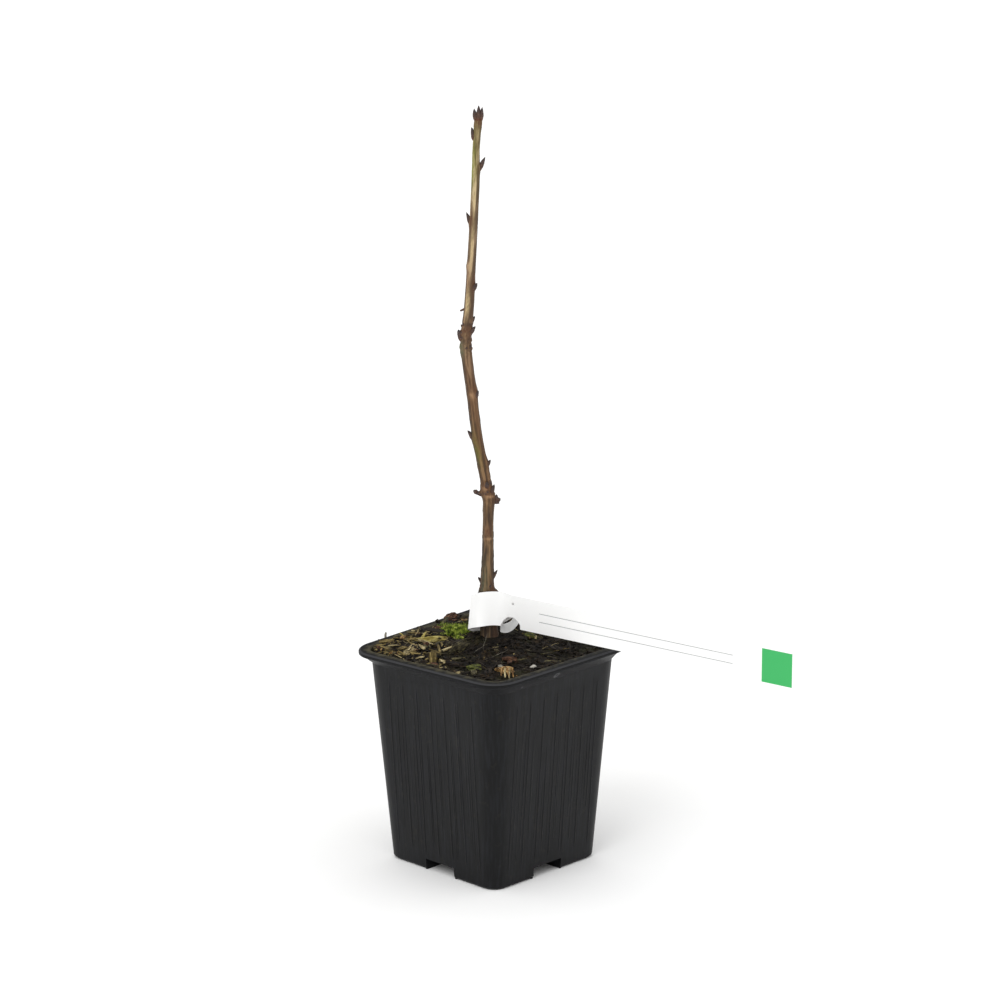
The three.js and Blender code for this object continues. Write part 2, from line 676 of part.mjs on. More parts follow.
// The arched notch is as wide as it is drawn here from 0 to 1, and goes up from the lower edge.
function makeNotch() {
  const arch = [[0, -1.2], [0.04, 0.1], [0.16, 0.6], [0.36, 1], [0.66, 1], [0.86, 0.7], [0.98, 0.3], [1, -1.2]];
  const wide = label.notchTo - label.notchFrom;
  const low = -label.width / 2;
  const points = arch.map(([across, rise]) => new THREE.Vector2(across * wide, low + rise * label.notchRise));
  return acrossTail(new THREE.Shape(points.reverse()), label.notchFrom);
}

function makeLabel() {
  const hole = new THREE.Shape().absarc(0, label.holeLift, label.holeRadius, 0, 360 * degree);
  return toSolid(ribbon(labelStations(), label.thickness))
    .subtract(makeNotch())
    .subtract(acrossTail(hole, label.holeAt));
}

const stemSeat = makeStem(gap);
const group = new THREE.Group();

const potMesh = toMesh('pot', makePot(), 'pot');
group.add(potMesh);

let compostSolid = withCrumbs(makeCompostFill());
const ground = new THREE.Group();
for (const chip of chips) {
  ground.add(toMesh(chip.name, laidPlank(chip, 0, chipSpans), chip.paint));
  compostSolid = compostSolid.subtract(laidPlank(chip, bed, chipSpans));
}
ground.add(toMesh('moss_clump', makeMoss(0), 'moss'));
compostSolid = compostSolid.subtract(makeMoss(bed)).subtract(stemSeat);
const grainHeight = compostLevel(perlite.x, perlite.y) + perlite.radius * 0.5;
const grain = (grow) => {
  const shape = new THREE.IcosahedronGeometry(perlite.radius + grow, 1);
  return toSolid(shape.translate(perlite.x, perlite.y, grainHeight));
};
ground.add(toMesh('perlite_grain', grain(0), 'perlite'));
compostSolid = compostSolid.subtract(grain(bed));
ground.add(toMesh('compost', compostSolid, 'compost'));
group.add(ground);

const plant = new THREE.Group();
plant.add(toMesh('stem', makeStem(0), 'bark'));
for (const bud of buds) {
  plant.add(toMesh(bud.name, makeBud(bud).subtract(stemSeat), 'bud'));
}
for (const spur of spurs) {
  plant.add(toMesh(spur.name, makeSpur(spur).subtract(stemSeat), 'bud'));
}
plant.add(toMesh('bud_tip_cluster', makeTipBuds().subtract(stemSeat), 'bud'));
group.add(plant);

group.add(toMesh('loop_label', makeLabel(), 'label'));

export default group;
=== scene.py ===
import math
import random

import bpy
from mathutils import Matrix, Vector, noise


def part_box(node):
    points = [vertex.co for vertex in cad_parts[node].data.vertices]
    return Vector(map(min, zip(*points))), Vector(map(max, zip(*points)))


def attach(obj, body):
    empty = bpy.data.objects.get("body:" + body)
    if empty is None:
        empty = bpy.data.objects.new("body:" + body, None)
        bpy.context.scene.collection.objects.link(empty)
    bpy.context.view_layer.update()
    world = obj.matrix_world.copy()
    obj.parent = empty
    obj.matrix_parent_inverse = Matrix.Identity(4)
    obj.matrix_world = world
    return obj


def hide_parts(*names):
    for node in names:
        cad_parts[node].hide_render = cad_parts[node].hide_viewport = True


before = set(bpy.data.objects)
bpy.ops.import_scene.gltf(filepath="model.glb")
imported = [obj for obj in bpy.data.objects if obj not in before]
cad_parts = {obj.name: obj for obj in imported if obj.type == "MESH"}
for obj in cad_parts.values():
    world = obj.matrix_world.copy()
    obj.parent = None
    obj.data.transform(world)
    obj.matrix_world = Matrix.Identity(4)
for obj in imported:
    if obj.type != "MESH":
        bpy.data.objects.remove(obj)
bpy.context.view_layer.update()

# Sizes are in millimetres, heights are from the ground, and plan angles are in degrees,
# counted from +X towards +Y. The camera looks at the pot's -X -Y corner.
mm = 0.001
facing = {"right": -46, "left": 134, "front": 224, "back": 44}
bpy.context.scene.view_settings.view_transform = "Standard"


def planVector(angle):
    return Vector((math.cos(math.radians(angle)), math.sin(math.radians(angle)), 0))


sideways = planVector(facing["right"])
forwards = planVector(facing["front"])
up = Vector((0, 0, 1))


# Camera and studio

camera = {
    "place": (-1273.5, -1239.9, 660.7),
    "looking": (0.69152, 0.67088, -0.26783),
    "lens": 150.55,
    "sensor": 36,
}
bpy.ops.object.camera_add(location=Vector(camera["place"]) * mm)
photoCamera = bpy.context.active_object
photoCamera.name = "photoCamera"
photoCamera.rotation_euler = Vector(camera["looking"]).to_track_quat("-Z", "Y").to_euler()
photoCamera.data.lens = camera["lens"]
photoCamera.data.sensor_width = camera["sensor"]
photoCamera.data.clip_end = 60
bpy.context.scene.camera = photoCamera

# White tent, brighter overhead than at its sides, and one large soft lamp: the plan angle and
# height that it shines from, its width in degrees and its strength
studio = {
    "horizon": 0.38,
    "zenith": 1.32,
    "lampAround": 190,
    "lampRise": 40,
    "lampWidth": 40,
    "lampStrength": 0.85,
    "floorSize": 24,
}


def hexColour(code):
    channels = [int(code[i:i + 2], 16) / 255 for i in (1, 3, 5)]
    linear = [c / 12.92 if c <= 0.04045 else ((c + 0.055) / 1.055) ** 2.4 for c in channels]
    return (*linear, 1.0)


# Adds one node. An input that is given a socket is linked to it.
def addNode(tree, kind, settings=None, inputs=None, stops=None):
    node = tree.nodes.new(kind)
    for name, value in (settings or {}).items():
        setattr(node, name, value)
    for name, value in (inputs or {}).items():
        if isinstance(value, bpy.types.NodeSocket):
            tree.links.new(value, node.inputs[name])
        else:
            node.inputs[name].default_value = value
    if stops:
        ramp = node.color_ramp.elements
        while len(ramp) < len(stops):
            ramp.new(0.5)
        for element, (place, _) in zip(ramp, stops):
            element.position = place
        for element, (_, code) in zip(ramp, stops):
            element.color = hexColour(code)
    return node


# A material with its shader wired to the output. Returns both with the node tree.
def newMaterial(name, **finish):
    material = bpy.data.materials.new(name)
    material.use_nodes = True
    tree = material.node_tree
    tree.nodes.clear()
    shader = addNode(tree, "ShaderNodeBsdfPrincipled", inputs=finish)
    addNode(tree, "ShaderNodeOutputMaterial", inputs={"Surface": shader.outputs[0]})
    return material, tree, shader


world = bpy.data.worlds.new("studioTent")
world.use_nodes = True
tree = world.node_tree
tentCoordinates = addNode(tree, "ShaderNodeTexCoord")
tentParts = addNode(tree, "ShaderNodeSeparateXYZ", inputs={"Vector": tentCoordinates.outputs["Generated"]})
tentLight = addNode(tree, "ShaderNodeMapRange",
                    inputs={"Value": tentParts.outputs["Z"], "To Min": studio["horizon"],
                            "To Max": studio["zenith"]})
tree.nodes["Background"].inputs["Color"].default_value = (1, 1, 1, 1)
tree.links.new(tentLight.outputs[0], tree.nodes["Background"].inputs["Strength"])
bpy.context.scene.world = world

level = math.radians(studio["lampRise"])
fromLamp = -planVector(studio["lampAround"]) * math.cos(level)
fromLamp.z = -math.sin(level)
bpy.ops.object.light_add(type="SUN", location=-2 * fromLamp)
softLamp = bpy.context.active_object
softLamp.name = "softLamp"
softLamp.data.energy = studio["lampStrength"]
softLamp.data.angle = math.radians(studio["lampWidth"])
softLamp.rotation_euler = fromLamp.to_track_quat("-Z", "Y").to_euler()

# Sprayed studio floor: matt white with a very slight mottle
floorPaint, tree, shader = newMaterial("sprayedWhiteFloor", Roughness=0.9, **{"Specular IOR Level": 0})
coordinates = addNode(tree, "ShaderNodeTexCoord")
mottle = addNode(tree, "ShaderNodeTexNoise", inputs={"Vector": coordinates.outputs["Object"], "Scale": 3})
mottleColour = addNode(tree, "ShaderNodeValToRGB", inputs={"Fac": mottle.outputs["Fac"]},
                       stops=[(0.3, "#fcfcfb"), (0.7, "#fefefe")])
tree.links.new(mottleColour.outputs["Color"], shader.inputs["Base Color"])
bpy.ops.mesh.primitive_plane_add(size=studio["floorSize"])
studioFloor = bpy.context.active_object
studioFloor.name = "studioFloor"
studioFloor.data.materials.append(floorPaint)
print("camera, lights and floor ready")


# Making pieces

def deselectAll():
    bpy.ops.object.select_all(action="DESELECT")


def pickPiece(piece):
    deselectAll()
    piece.select_set(True)
    bpy.context.view_layer.objects.active = piece


def nameActive(name):
    piece = bpy.context.active_object
    piece.name = name
    piece.data.name = name
    return piece


# A grid of faces rolled or draped to a shape: place(u, v) gives each corner, u and v from 0 to 1
def shapedGrid(name, spansU, spansV, place):
    deselectAll()
    bpy.ops.mesh.primitive_grid_add(x_subdivisions=spansU, y_subdivisions=spansV, size=1)
    piece = nameActive(name)
    for vertex in piece.data.vertices:
        vertex.co = place(vertex.co.x + 0.5, vertex.co.y + 0.5)
    return piece


# Merges the seam of a rolled grid, fills its open ends and points its faces outwards
def closeShape(piece):
    bpy.context.view_layer.objects.active = piece
    bpy.ops.object.mode_set(mode="EDIT")
    bpy.ops.mesh.select_all(action="SELECT")
    bpy.ops.mesh.remove_doubles(threshold=1e-6)
    bpy.ops.mesh.select_all(action="DESELECT")
    bpy.ops.mesh.select_non_manifold()
    bpy.ops.mesh.fill_holes(sides=0)
    bpy.ops.mesh.select_all(action="SELECT")
    bpy.ops.mesh.normals_make_consistent(inside=False)
    bpy.ops.object.mode_set(mode="OBJECT")
    return piece


def smoothShade(piece, angle=180):
    pickPiece(piece)
    bpy.ops.object.shade_smooth_by_angle(angle=math.radians(angle))


# A new piece with its own copy of a mesh, moved by a matrix
def copyMesh(source, name, matrix=Matrix.Identity(4)):
    piece = bpy.data.objects.new(name, source.data.copy())
    piece.data.name = name
    piece.data.transform(matrix)
    bpy.context.scene.collection.objects.link(piece)
    return piece


# A copy of a node of the solid part, left in edit mode with all its corners selected
def editNode(node, name):
    piece = copyMesh(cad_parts[node], name)
    pickPiece(piece)
    bpy.ops.object.mode_set(mode="EDIT")
    bpy.ops.mesh.customdata_custom_splitnormals_clear()
    bpy.ops.mesh.select_all(action="SELECT")
    bpy.ops.mesh.remove_doubles(threshold=1e-6)
    return piece


def joinPieces(pieces):
    deselectAll()
    for piece in pieces:
        piece.select_set(True)
    bpy.context.view_layer.objects.active = pieces[0]
    bpy.ops.object.join()
    return pieces[0]


def applyModifier(piece, name, kind, **settings):
    modifier = piece.modifiers.new(name, kind)
    for key, value in settings.items():
        setattr(modifier, key, value)
    pickPiece(piece)
    bpy.ops.object.modifier_apply(modifier=name)


# Keeps one vector for each vertex, which the piece's material reads as "grain"
def keepGrain(piece, vectors):
    attribute = piece.data.attributes.new("grain", "FLOAT_VECTOR", "POINT")
    attribute.data.foreach_set("vector", [value for vector in vectors for value in vector])


def finishPiece(piece, material, nodes=()):
    if material is not None:
        piece.data.materials.clear()
        piece.data.materials.append(material)
    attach(piece, "root")
    if nodes:
        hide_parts(*nodes)


# A smooth line through points, at a share of the way from its first point to its last
def pointAlong(points, share):
    place = min(max(share, 0), 0.9999999) * (len(points) - 1)
    low = int(place)
    rest = place - low
    start, end = points[low], points[low + 1]
    first = points[low - 1] if low > 0 else 2 * start - end
    last = points[low + 2] if low + 2 < len(points) else 2 * end - start
    before = (start - first).length ** 0.5
    along = (end - start).length ** 0.5
    after = (last - end).length ** 0.5
    leave = ((start - first) / before - (end - first) / (before + along) + (end - start) / along) * along
    arrive = ((end - start) / along - (last - start) / (along + after) + (last - end) / after) * along
    square = rest * rest
    bend = 3 * (end - start) - 2 * leave - arrive
    turn = 2 * (start - end) + leave + arrive
    return start + leave * rest + bend * square + turn * square * rest


# Runs from 0 to 1 between two limits, with soft ends
def smoothStep(value, low, high):
    share = min(max((value - low) / (high - low), 0), 1)
    return share * share * (3 - 2 * share)


# Pot

pot = {
    "height": 100,
    "wall": 0.9,
    "footHalf": 33.6,
    "shoulderHeight": 93.6,
    "shoulderHalf": 40.65,
    "shoulderCorner": 10.6,
    "mouthHalf": 39.8,
    "ribPitch": 8.5,
    "ribGaps": 6,
    "ribLow": 8,
    "ribHigh": 87,
    "ribLeast": 0.05,  # what stands out from the wall between these two is a rib
    "ribMost": 0.6,
    "ribSoften": 0.5,
    "ribCrest": 0.4,
    "fineRibs": 3,
    "fineRibWidth": (0.4, 0.9),
    "fineRibRise": (0.07, 0.25),
    "fineRibLow": (9, 30),
    "fineRibHigh": (60, 88),
    "fineRibShift": 1,
    "fineRibRoot": 0.3,
    "fineRibEnds": 0.6,
    "lipHalf": 42.4,
    "lipCorner": 9.9,
    "stepHalf": 42.45,
    "stepCorner": 12.4,
    "flare": [(98, 1.7, -0.4), (96.2, 0.5, 0.1)],  # height of an edge, its shift out and up
    "flareNearHeight": 0.15,
    "flareNearStep": 0.25,
    "lipTop": 1.2,
    "dust": 0.76,
    "dustFade": 0.004,
    "sagDrop": 2,
    "sagOut": 1.4,
    "sagTurn": 1,
    "sagFrom": 28,
    "sagTo": 58,
    "sagLow": 88,
    "sagHigh": 98,
    "seed": 9,
    "smoothAngle": 28,
}


def wallHalfAt(height):
    return pot["footHalf"] + (pot["shoulderHalf"] - pot["footHalf"]) * height / pot["shoulderHeight"]


potPiece = editNode("pot", "pot_moulded")
bpy.ops.mesh.tris_convert_to_quads()
bpy.ops.object.mode_set(mode="OBJECT")


# A point of the pot as it was before the lip's left corner sagged down and out
def beforeSag(place):
    outwards = planVector(facing["left"] + pot["sagTurn"])
    share = smoothStep(place.dot(outwards) - pot["sagOut"], pot["sagFrom"], pot["sagTo"])
    share *= smoothStep(place.z + pot["sagDrop"], pot["sagLow"], pot["sagHigh"])
    return place - outwards * pot["sagOut"] * share + up * pot["sagDrop"] * share


# How far a point is outside a square with round corners, and the way out there
def fromSquare(place, half, corner):
    out = Vector((abs(place.x) - half + corner, abs(place.y) - half + corner, 0))
    flat = Vector((max(out.x, 0), max(out.y, 0), 0))
    if flat.length == 0:
        return max(out.x, out.y) - corner, Vector((0, 0, 0))
    way = flat.normalized()
    return flat.length - corner, Vector((math.copysign(way.x, place.x), math.copysign(way.y, place.y), 0))


# The lip runs down to the wall in a soft flare
for vertex in potPiece.data.vertices:
    before = beforeSag(vertex.co / mm)
    apart, way = fromSquare(before, pot["stepHalf"], pot["stepCorner"])
    for height, out, lift in pot["flare"]:
        if abs(before.z - height) < pot["flareNearHeight"] and abs(apart) < pot["flareNearStep"]:
            vertex.co += (way * out + up * lift) * mm

# The main ribs are moulded soft: low, with sloping sides
for vertex in potPiece.data.vertices:
    place = vertex.co / mm
    for axis in (0, 1):
        out = abs(place[axis]) - wallHalfAt(place.z)
        if pot["ribLeast"] < out < pot["ribMost"] and pot["ribLow"] < place.z < pot["ribHigh"]:
            across = place[1 - axis]
            middle = round(across / pot["ribPitch"]) * pot["ribPitch"]
            place[axis] -= math.copysign(out * pot["ribSoften"], place[axis])
            place[1 - axis] = middle + (across - middle) * pot["ribCrest"]
            vertex.co = place * mm

# Fine ribs between them: long low bars whose ends run out into the wall, no two alike
deselectAll()
bpy.ops.mesh.primitive_cube_add(size=1)
barShape = nameActive("fine_rib_shape")
bpy.ops.object.mode_set(mode="EDIT")
bpy.ops.mesh.subdivide(number_cuts=3)
bpy.ops.object.mode_set(mode="OBJECT")
dice = random.Random(pot["seed"])


def makeFineRib(name, side, offset):
    piece = copyMesh(barShape, name)
    root = pot["fineRibRoot"]
    low, high = dice.uniform(*pot["fineRibLow"]), dice.uniform(*pot["fineRibHigh"])
    width, rise = dice.uniform(*pot["fineRibWidth"]), dice.uniform(*pot["fineRibRise"])
    for vertex in piece.data.vertices:
        across, outer, share = vertex.co.y, vertex.co.x + 0.5, vertex.co.z + 0.5
        height = low + share * (high - low)
        crest = rise * (1 - (2 * across) ** 2) * max(0, math.sin(math.pi * share)) ** pot["fineRibEnds"]
        out = wallHalfAt(height) - root + outer * (root + crest)
        vertex.co = Vector((out, offset + across * width, height)) * mm
    piece.data.transform(Matrix.Rotation(math.radians(90 * side), 4, "Z"))
    return piece


ribCopies = []
for side in range(4):
    for gap in range(pot["ribGaps"]):
        for place in range(pot["fineRibs"]):
            share = (place + 1) / (pot["fineRibs"] + 1)
            offset = (gap - pot["ribGaps"] / 2 + share) * pot["ribPitch"]
            offset += dice.uniform(-pot["fineRibShift"], pot["fineRibShift"])
            ribCopies.append(makeFineRib(f"fine_rib_{side}_{gap}_{place}", side, offset))
bpy.data.objects.remove(barShape)
joinPieces([potPiece, *ribCopies])
smoothShade(potPiece, pot["smoothAngle"])


# How much a point of the lip's top carries dust and painted light, at the lip's inner edge (side -1)
# or outer edge (side 1). The dust lies on the inner edge, most at the left. Both halves carry the
# painted shade on the lip's top, and the outer edge a painted highlight.
def lipDustAndPaintedLight(place, side):
    before = beforeSag(place)
    apart, _ = fromSquare(before, pot["lipHalf"], pot["lipCorner"])
    if before.z < pot["height"] - pot["lipTop"] or apart * side < 0:
        return 0
    return 1 if side > 0 else pot["dust"] - pot["dustFade"] * place.dot(sideways)


for name, side in (("innerEdge", -1), ("outerEdge", 1)):
    wear = potPiece.data.attributes.new(name, "FLOAT", "POINT")
    wear.data.foreach_set("value", [lipDustAndPaintedLight(vertex.co / mm, side) for vertex in potPiece.data.vertices])

# Pale scuffs under the lip, each a ragged ring: place and radius. The ring's own shape is given
# in shares of that radius.
scuffs = [((-3.7, -42.6, 96), 1.35), ((-24.8, -41.9, 95), 0.5)]
scuffRing = {"ragged": 0.9, "middle": 1.35, "outer": 0.42, "inner": 0.22}

# Injection-moulded polypropylene, carbon black: nearly black, satin, with upright drag lines from
# the mould, a fine frosted grain, dust on the ledges and a few pale scuffs. The lip's top is
# painted darker (painted shade) and the lip's outer edge lighter (painted highlight).
pottery, tree, shader = newMaterial("mouldedBlackPolypropylene", IOR=1.49,
                                    **{"Specular IOR Level": 0.2})
coordinates = addNode(tree, "ShaderNodeTexCoord")
dragPlace = addNode(tree, "ShaderNodeMapping",
                    inputs={"Vector": coordinates.outputs["Object"], "Scale": (1, 1, 0.02)})
dragLines = addNode(tree, "ShaderNodeTexNoise",
                    inputs={"Vector": dragPlace.outputs[0], "Scale": 900, "Detail": 3, "Roughness": 0.6})
cloud = addNode(tree, "ShaderNodeTexNoise",
                inputs={"Vector": coordinates.outputs["Object"], "Scale": 38, "Detail": 4})
frost = addNode(tree, "ShaderNodeTexNoise",
                inputs={"Vector": coordinates.outputs["Object"], "Scale": 1800, "Detail": 2})
plasticColour = addNode(tree, "ShaderNodeValToRGB", inputs={"Fac": cloud.outputs["Fac"]},
                        stops=[(0.3, "#08080a"), (0.55, "#0d0e10"), (0.75, "#151517")])
dragColour = addNode(tree, "ShaderNodeValToRGB", inputs={"Fac": dragLines.outputs["Fac"]},
                     stops=[(0.4, "#040405"), (0.5, "#0d0e10"), (0.64, "#1e1f24")])
wallColour = addNode(tree, "ShaderNodeMix", {"data_type": "RGBA"},
                     {0: 0.45, 6: plasticColour.outputs["Color"], 7: dragColour.outputs["Color"]})
innerEdge = addNode(tree, "ShaderNodeAttribute", {"attribute_name": "innerEdge"})
outerEdge = addNode(tree, "ShaderNodeAttribute", {"attribute_name": "outerEdge"})
dustPatches = addNode(tree, "ShaderNodeTexNoise",
                      inputs={"Vector": coordinates.outputs["Object"], "Scale": 300, "Detail": 4})
dustLimit = addNode(tree, "ShaderNodeMapRange",
                    inputs={"Value": dustPatches.outputs["Fac"], "From Min": 0.35, "From Max": 0.65,
                            "To Min": -0.35, "To Max": 0.25})
dustSum = addNode(tree, "ShaderNodeMath", {"operation": "ADD"},
                  {0: innerEdge.outputs["Fac"], 1: dustLimit.outputs[0]})
dustShare = addNode(tree, "ShaderNodeMapRange",
                    inputs={"Value": dustSum.outputs[0], "From Min": 0.2, "From Max": 1, "To Max": 0.8})
lipShare = addNode(tree, "ShaderNodeMath", {"operation": "ADD", "use_clamp": True},
                   {0: innerEdge.outputs["Fac"], 1: outerEdge.outputs["Fac"]})
# Painted shade: the whole lip top is darkened towards #0f0f0e
lipShadeShare = addNode(tree, "ShaderNodeMapRange", inputs={"Value": lipShare.outputs[0], "To Max": 0.8})
lipPaintedShade = addNode(tree, "ShaderNodeMix", {"data_type": "RGBA"},
                  {0: lipShadeShare.outputs[0], 6: wallColour.outputs[2], 7: hexColour("#0f0f0e")})
dusty = addNode(tree, "ShaderNodeMix", {"data_type": "RGBA"},
                {0: dustShare.outputs[0], 6: lipPaintedShade.outputs[2], 7: hexColour("#4f4a37")})
# Painted highlight: a lighter grey line along the lip's outer edge
edgeHighlightShare = addNode(tree, "ShaderNodeMapRange",
                    inputs={"Value": outerEdge.outputs["Fac"], "From Min": 0.84, "From Max": 1,
                            "To Max": 0.6})
potColour = addNode(tree, "ShaderNodeMix", {"data_type": "RGBA"},
                    {0: edgeHighlightShare.outputs[0], 6: dusty.outputs[2], 7: hexColour("#47474a")})
for place, radius in scuffs:
    reach = addNode(tree, "ShaderNodeVectorMath", {"operation": "DISTANCE"},
                    {0: coordinates.outputs["Object"], 1: Vector(place) * mm})
    ragged = addNode(tree, "ShaderNodeMath", {"operation": "MULTIPLY_ADD"},
                     {0: frost.outputs["Fac"], 1: scuffRing["ragged"] * radius * mm,
                      2: reach.outputs["Value"]})
    fromRing = addNode(tree, "ShaderNodeMath", {"operation": "SUBTRACT"},
                       {0: ragged.outputs[0], 1: scuffRing["middle"] * radius * mm})
    ringApart = addNode(tree, "ShaderNodeMath", {"operation": "ABSOLUTE"}, {0: fromRing.outputs[0]})
    scuffShare = addNode(tree, "ShaderNodeMapRange",
                         inputs={"Value": ringApart.outputs[0],
                                 "From Min": scuffRing["outer"] * radius * mm,
                                 "From Max": scuffRing["inner"] * radius * mm, "To Max": 0.6})
    potColour = addNode(tree, "ShaderNodeMix", {"data_type": "RGBA"},
                        {0: scuffShare.outputs[0], 6: potColour.outputs[2], 7: hexColour("#6d6d6f")})
gloss = addNode(tree, "ShaderNodeMapRange",
                inputs={"Value": dragLines.outputs["Fac"], "To Min": 0.36, "To Max": 0.58})
lipGloss = addNode(tree, "ShaderNodeMapRange",
                   inputs={"Value": lipShare.outputs[0], "To Min": gloss.outputs[0], "To Max": 0.72})
lipShine = addNode(tree, "ShaderNodeMapRange",
                   inputs={"Value": lipShare.outputs[0], "To Min": 0.2, "To Max": 0.13})
dragBump = addNode(tree, "ShaderNodeBump",
                   inputs={"Height": dragLines.outputs["Fac"], "Strength": 0.35, "Distance": 0.0002})
frostBump = addNode(tree, "ShaderNodeBump",
                    inputs={"Height": frost.outputs["Fac"], "Strength": 0.12, "Distance": 0.0001,
                            "Normal": dragBump.outputs[0]})
tree.links.new(potColour.outputs[2], shader.inputs["Base Color"])
tree.links.new(lipGloss.outputs[0], shader.inputs["Roughness"])
tree.links.new(lipShine.outputs[0], shader.inputs["Specular IOR Level"])
tree.links.new(frostBump.outputs[0], shader.inputs["Normal"])
finishPiece(potPiece, pottery, ["pot"])
print("pot done")


# Compost

compost = {
    "level": 97,
    "rise": 4.4,
    "heap": 1.5,
    "heapReach": 7,
    "crumbHeap": 3.8,
    "crumbHeapPlace": (-1, 1),
    "crumbHeapReach": 9,
    "clearance": 0.3,
    "neck": 93.6,
    "foot": 6.9,
    "cornerHeap": 0.8,
    "cornerFrom": 24,
    "cornerSpan": 26,
    "cornerFill": 0.5,
    "hollow": 2.8,
    "hollowFrom": 30,
    "hollowTo": 38,
    "moundPlace": 11,
    "moundReach": 3.5,
    "spans": 150,
    "lumps": [(0.13, 1.1), (0.34, 0.8), (0.9, 0.4)],
    "edgeFade": 2,
    "edgeLumps": 0.35,
    "calm": 0.4,
    "calmFrom": -30,
    "calmTo": 20,
}


def compostLevel(x, y):
    toFront = (pot["mouthHalf"] - y) / (2 * pot["mouthHalf"])
    toSide = abs(x) / pot["mouthHalf"]
    rise = compost["rise"] * (1 - toFront ** 2) * (1 - min(toSide, 1) ** 3)
    apart = math.hypot(x, y) / compost["heapReach"]
    return compost["level"] + rise + compost["heap"] * math.exp(-apart ** 2)


# Height of the compost with its clods, each as frequency and height. They fade at the pot's wall
# and towards the right. Along the back wall it is hollow, but for a mound and the left corner.
def compostSurface(x, y):
    lumps = sum(noise.noise(Vector((x, y, 7 * rate)) * rate) * size for rate, size in compost["lumps"])
    edge = min(1, max(0, (pot["mouthHalf"] - max(abs(x), abs(y))) / compost["edgeFade"]))
    heapX, heapY = compost["crumbHeapPlace"]
    apart = math.hypot(x - heapX, y - heapY) / compost["crumbHeapReach"]
    heap = compost["crumbHeap"] * math.exp(-apart ** 2)
    diagonal = (y - x) / 1.414
    toCorner = min(1, max(0, diagonal - compost["cornerFrom"]) / compost["cornerSpan"])
    mound = math.exp(-((x - compost["moundPlace"]) / compost["moundReach"]) ** 2)
    hollow = compost["hollow"] * smoothStep(y, compost["hollowFrom"], compost["hollowTo"])
    hollow *= 1 - mound
    hollow *= 1 - compost["cornerFill"] * toCorner
    level = compostLevel(x, y) + heap + compost["cornerHeap"] * toCorner - hollow
    lumps *= compost["edgeLumps"] + (1 - compost["edgeLumps"]) * edge
    return level + lumps * (1 - compost["calm"] * smoothStep(x - y, compost["calmFrom"], compost["calmTo"]))


# A point of the unit square, from -1 to 1 both ways, drawn in to a square with round corners
def roundedSquare(u, v, half, corner):
    reach = max(abs(u), abs(v))
    if reach == 0:
        return 0, 0
    arc = corner * math.pi / 4
    along = (v if abs(u) >= abs(v) else u) / reach * (half - corner + arc)
    if abs(along) <= half - corner:
        out, side = half, along
    else:
        turn = (abs(along) - (half - corner)) / corner
        out = half - corner + corner * math.cos(turn)
        side = math.copysign(half - corner + corner * math.sin(turn), along)
    if abs(u) >= abs(v):
        return math.copysign(out, u) * reach, side * reach
    return side * reach, math.copysign(out, v) * reach


innerHalf = pot["shoulderHalf"] - pot["wall"] - compost["clearance"]
innerCorner = pot["shoulderCorner"] - pot["wall"] - compost["clearance"]


def placeOnCompost(u, v):
    x, y = roundedSquare(2 * u - 1, 2 * v - 1, innerHalf, innerCorner)
    return Vector((x, y, compostSurface(x, y))) * mm


compostPiece = shapedGrid("compost_fill", compost["spans"], compost["spans"], placeOnCompost)
bpy.ops.object.mode_set(mode="EDIT")
for low in (compost["neck"], compost["foot"]):
    bpy.ops.mesh.select_all(action="DESELECT")
    bpy.ops.mesh.select_non_manifold()
    bpy.ops.mesh.extrude_region_move()
    bpy.ops.object.mode_set(mode="OBJECT")
    shrink = (wallHalfAt(low) - pot["wall"] - compost["clearance"]) / innerHalf
    for vertex in compostPiece.data.vertices:
        if vertex.select:
            across = shrink if low == compost["foot"] else 1
            vertex.co = Vector((vertex.co.x * across, vertex.co.y * across, low * mm))
    bpy.ops.object.mode_set(mode="EDIT")
bpy.ops.object.mode_set(mode="OBJECT")
closeShape(compostPiece)
smoothShade(compostPiece)

# Peat potting compost: very dark brown and matt, in crumbs of 0.5 to 3 mm, with reddish and
# tan fibres in it
peat, tree, shader = newMaterial("peatCompost", Roughness=0.96, **{"Specular IOR Level": 0.22})
coordinates = addNode(tree, "ShaderNodeTexCoord")
crumbPattern = addNode(tree, "ShaderNodeTexVoronoi",
                       inputs={"Vector": coordinates.outputs["Object"], "Scale": 620})
clodPattern = addNode(tree, "ShaderNodeTexNoise",
                      inputs={"Vector": coordinates.outputs["Object"], "Scale": 260, "Detail": 5})
fibrePlace = addNode(tree, "ShaderNodeMapping",
                     inputs={"Vector": coordinates.outputs["Object"], "Scale": (1, 0.22, 1),
                             "Rotation": (0, 0, 0.6)})
fibrePattern = addNode(tree, "ShaderNodeTexNoise",
                       inputs={"Vector": fibrePlace.outputs[0], "Scale": 1500, "Detail": 2})
peatColour = addNode(tree, "ShaderNodeValToRGB", inputs={"Fac": clodPattern.outputs["Fac"]},
                     stops=[(0.3, "#090807"), (0.5, "#17130f"), (0.62, "#251e16"), (0.76, "#3b2d1c")])
fibreShare = addNode(tree, "ShaderNodeMapRange",
                     inputs={"Value": fibrePattern.outputs["Fac"], "From Min": 0.62, "From Max": 0.72,
                             "To Max": 0.5})
peatMix = addNode(tree, "ShaderNodeMix", {"data_type": "RGBA"},
                  {0: fibreShare.outputs[0], 6: peatColour.outputs["Color"], 7: hexColour("#574629")})
crumbBump = addNode(tree, "ShaderNodeBump",
                    inputs={"Height": crumbPattern.outputs["Distance"], "Strength": 0.8,
                            "Distance": 0.0005})
clodBump = addNode(tree, "ShaderNodeBump",
                   inputs={"Height": clodPattern.outputs["Fac"], "Strength": 0.7, "Distance": 0.0008,
                           "Normal": crumbBump.outputs[0]})
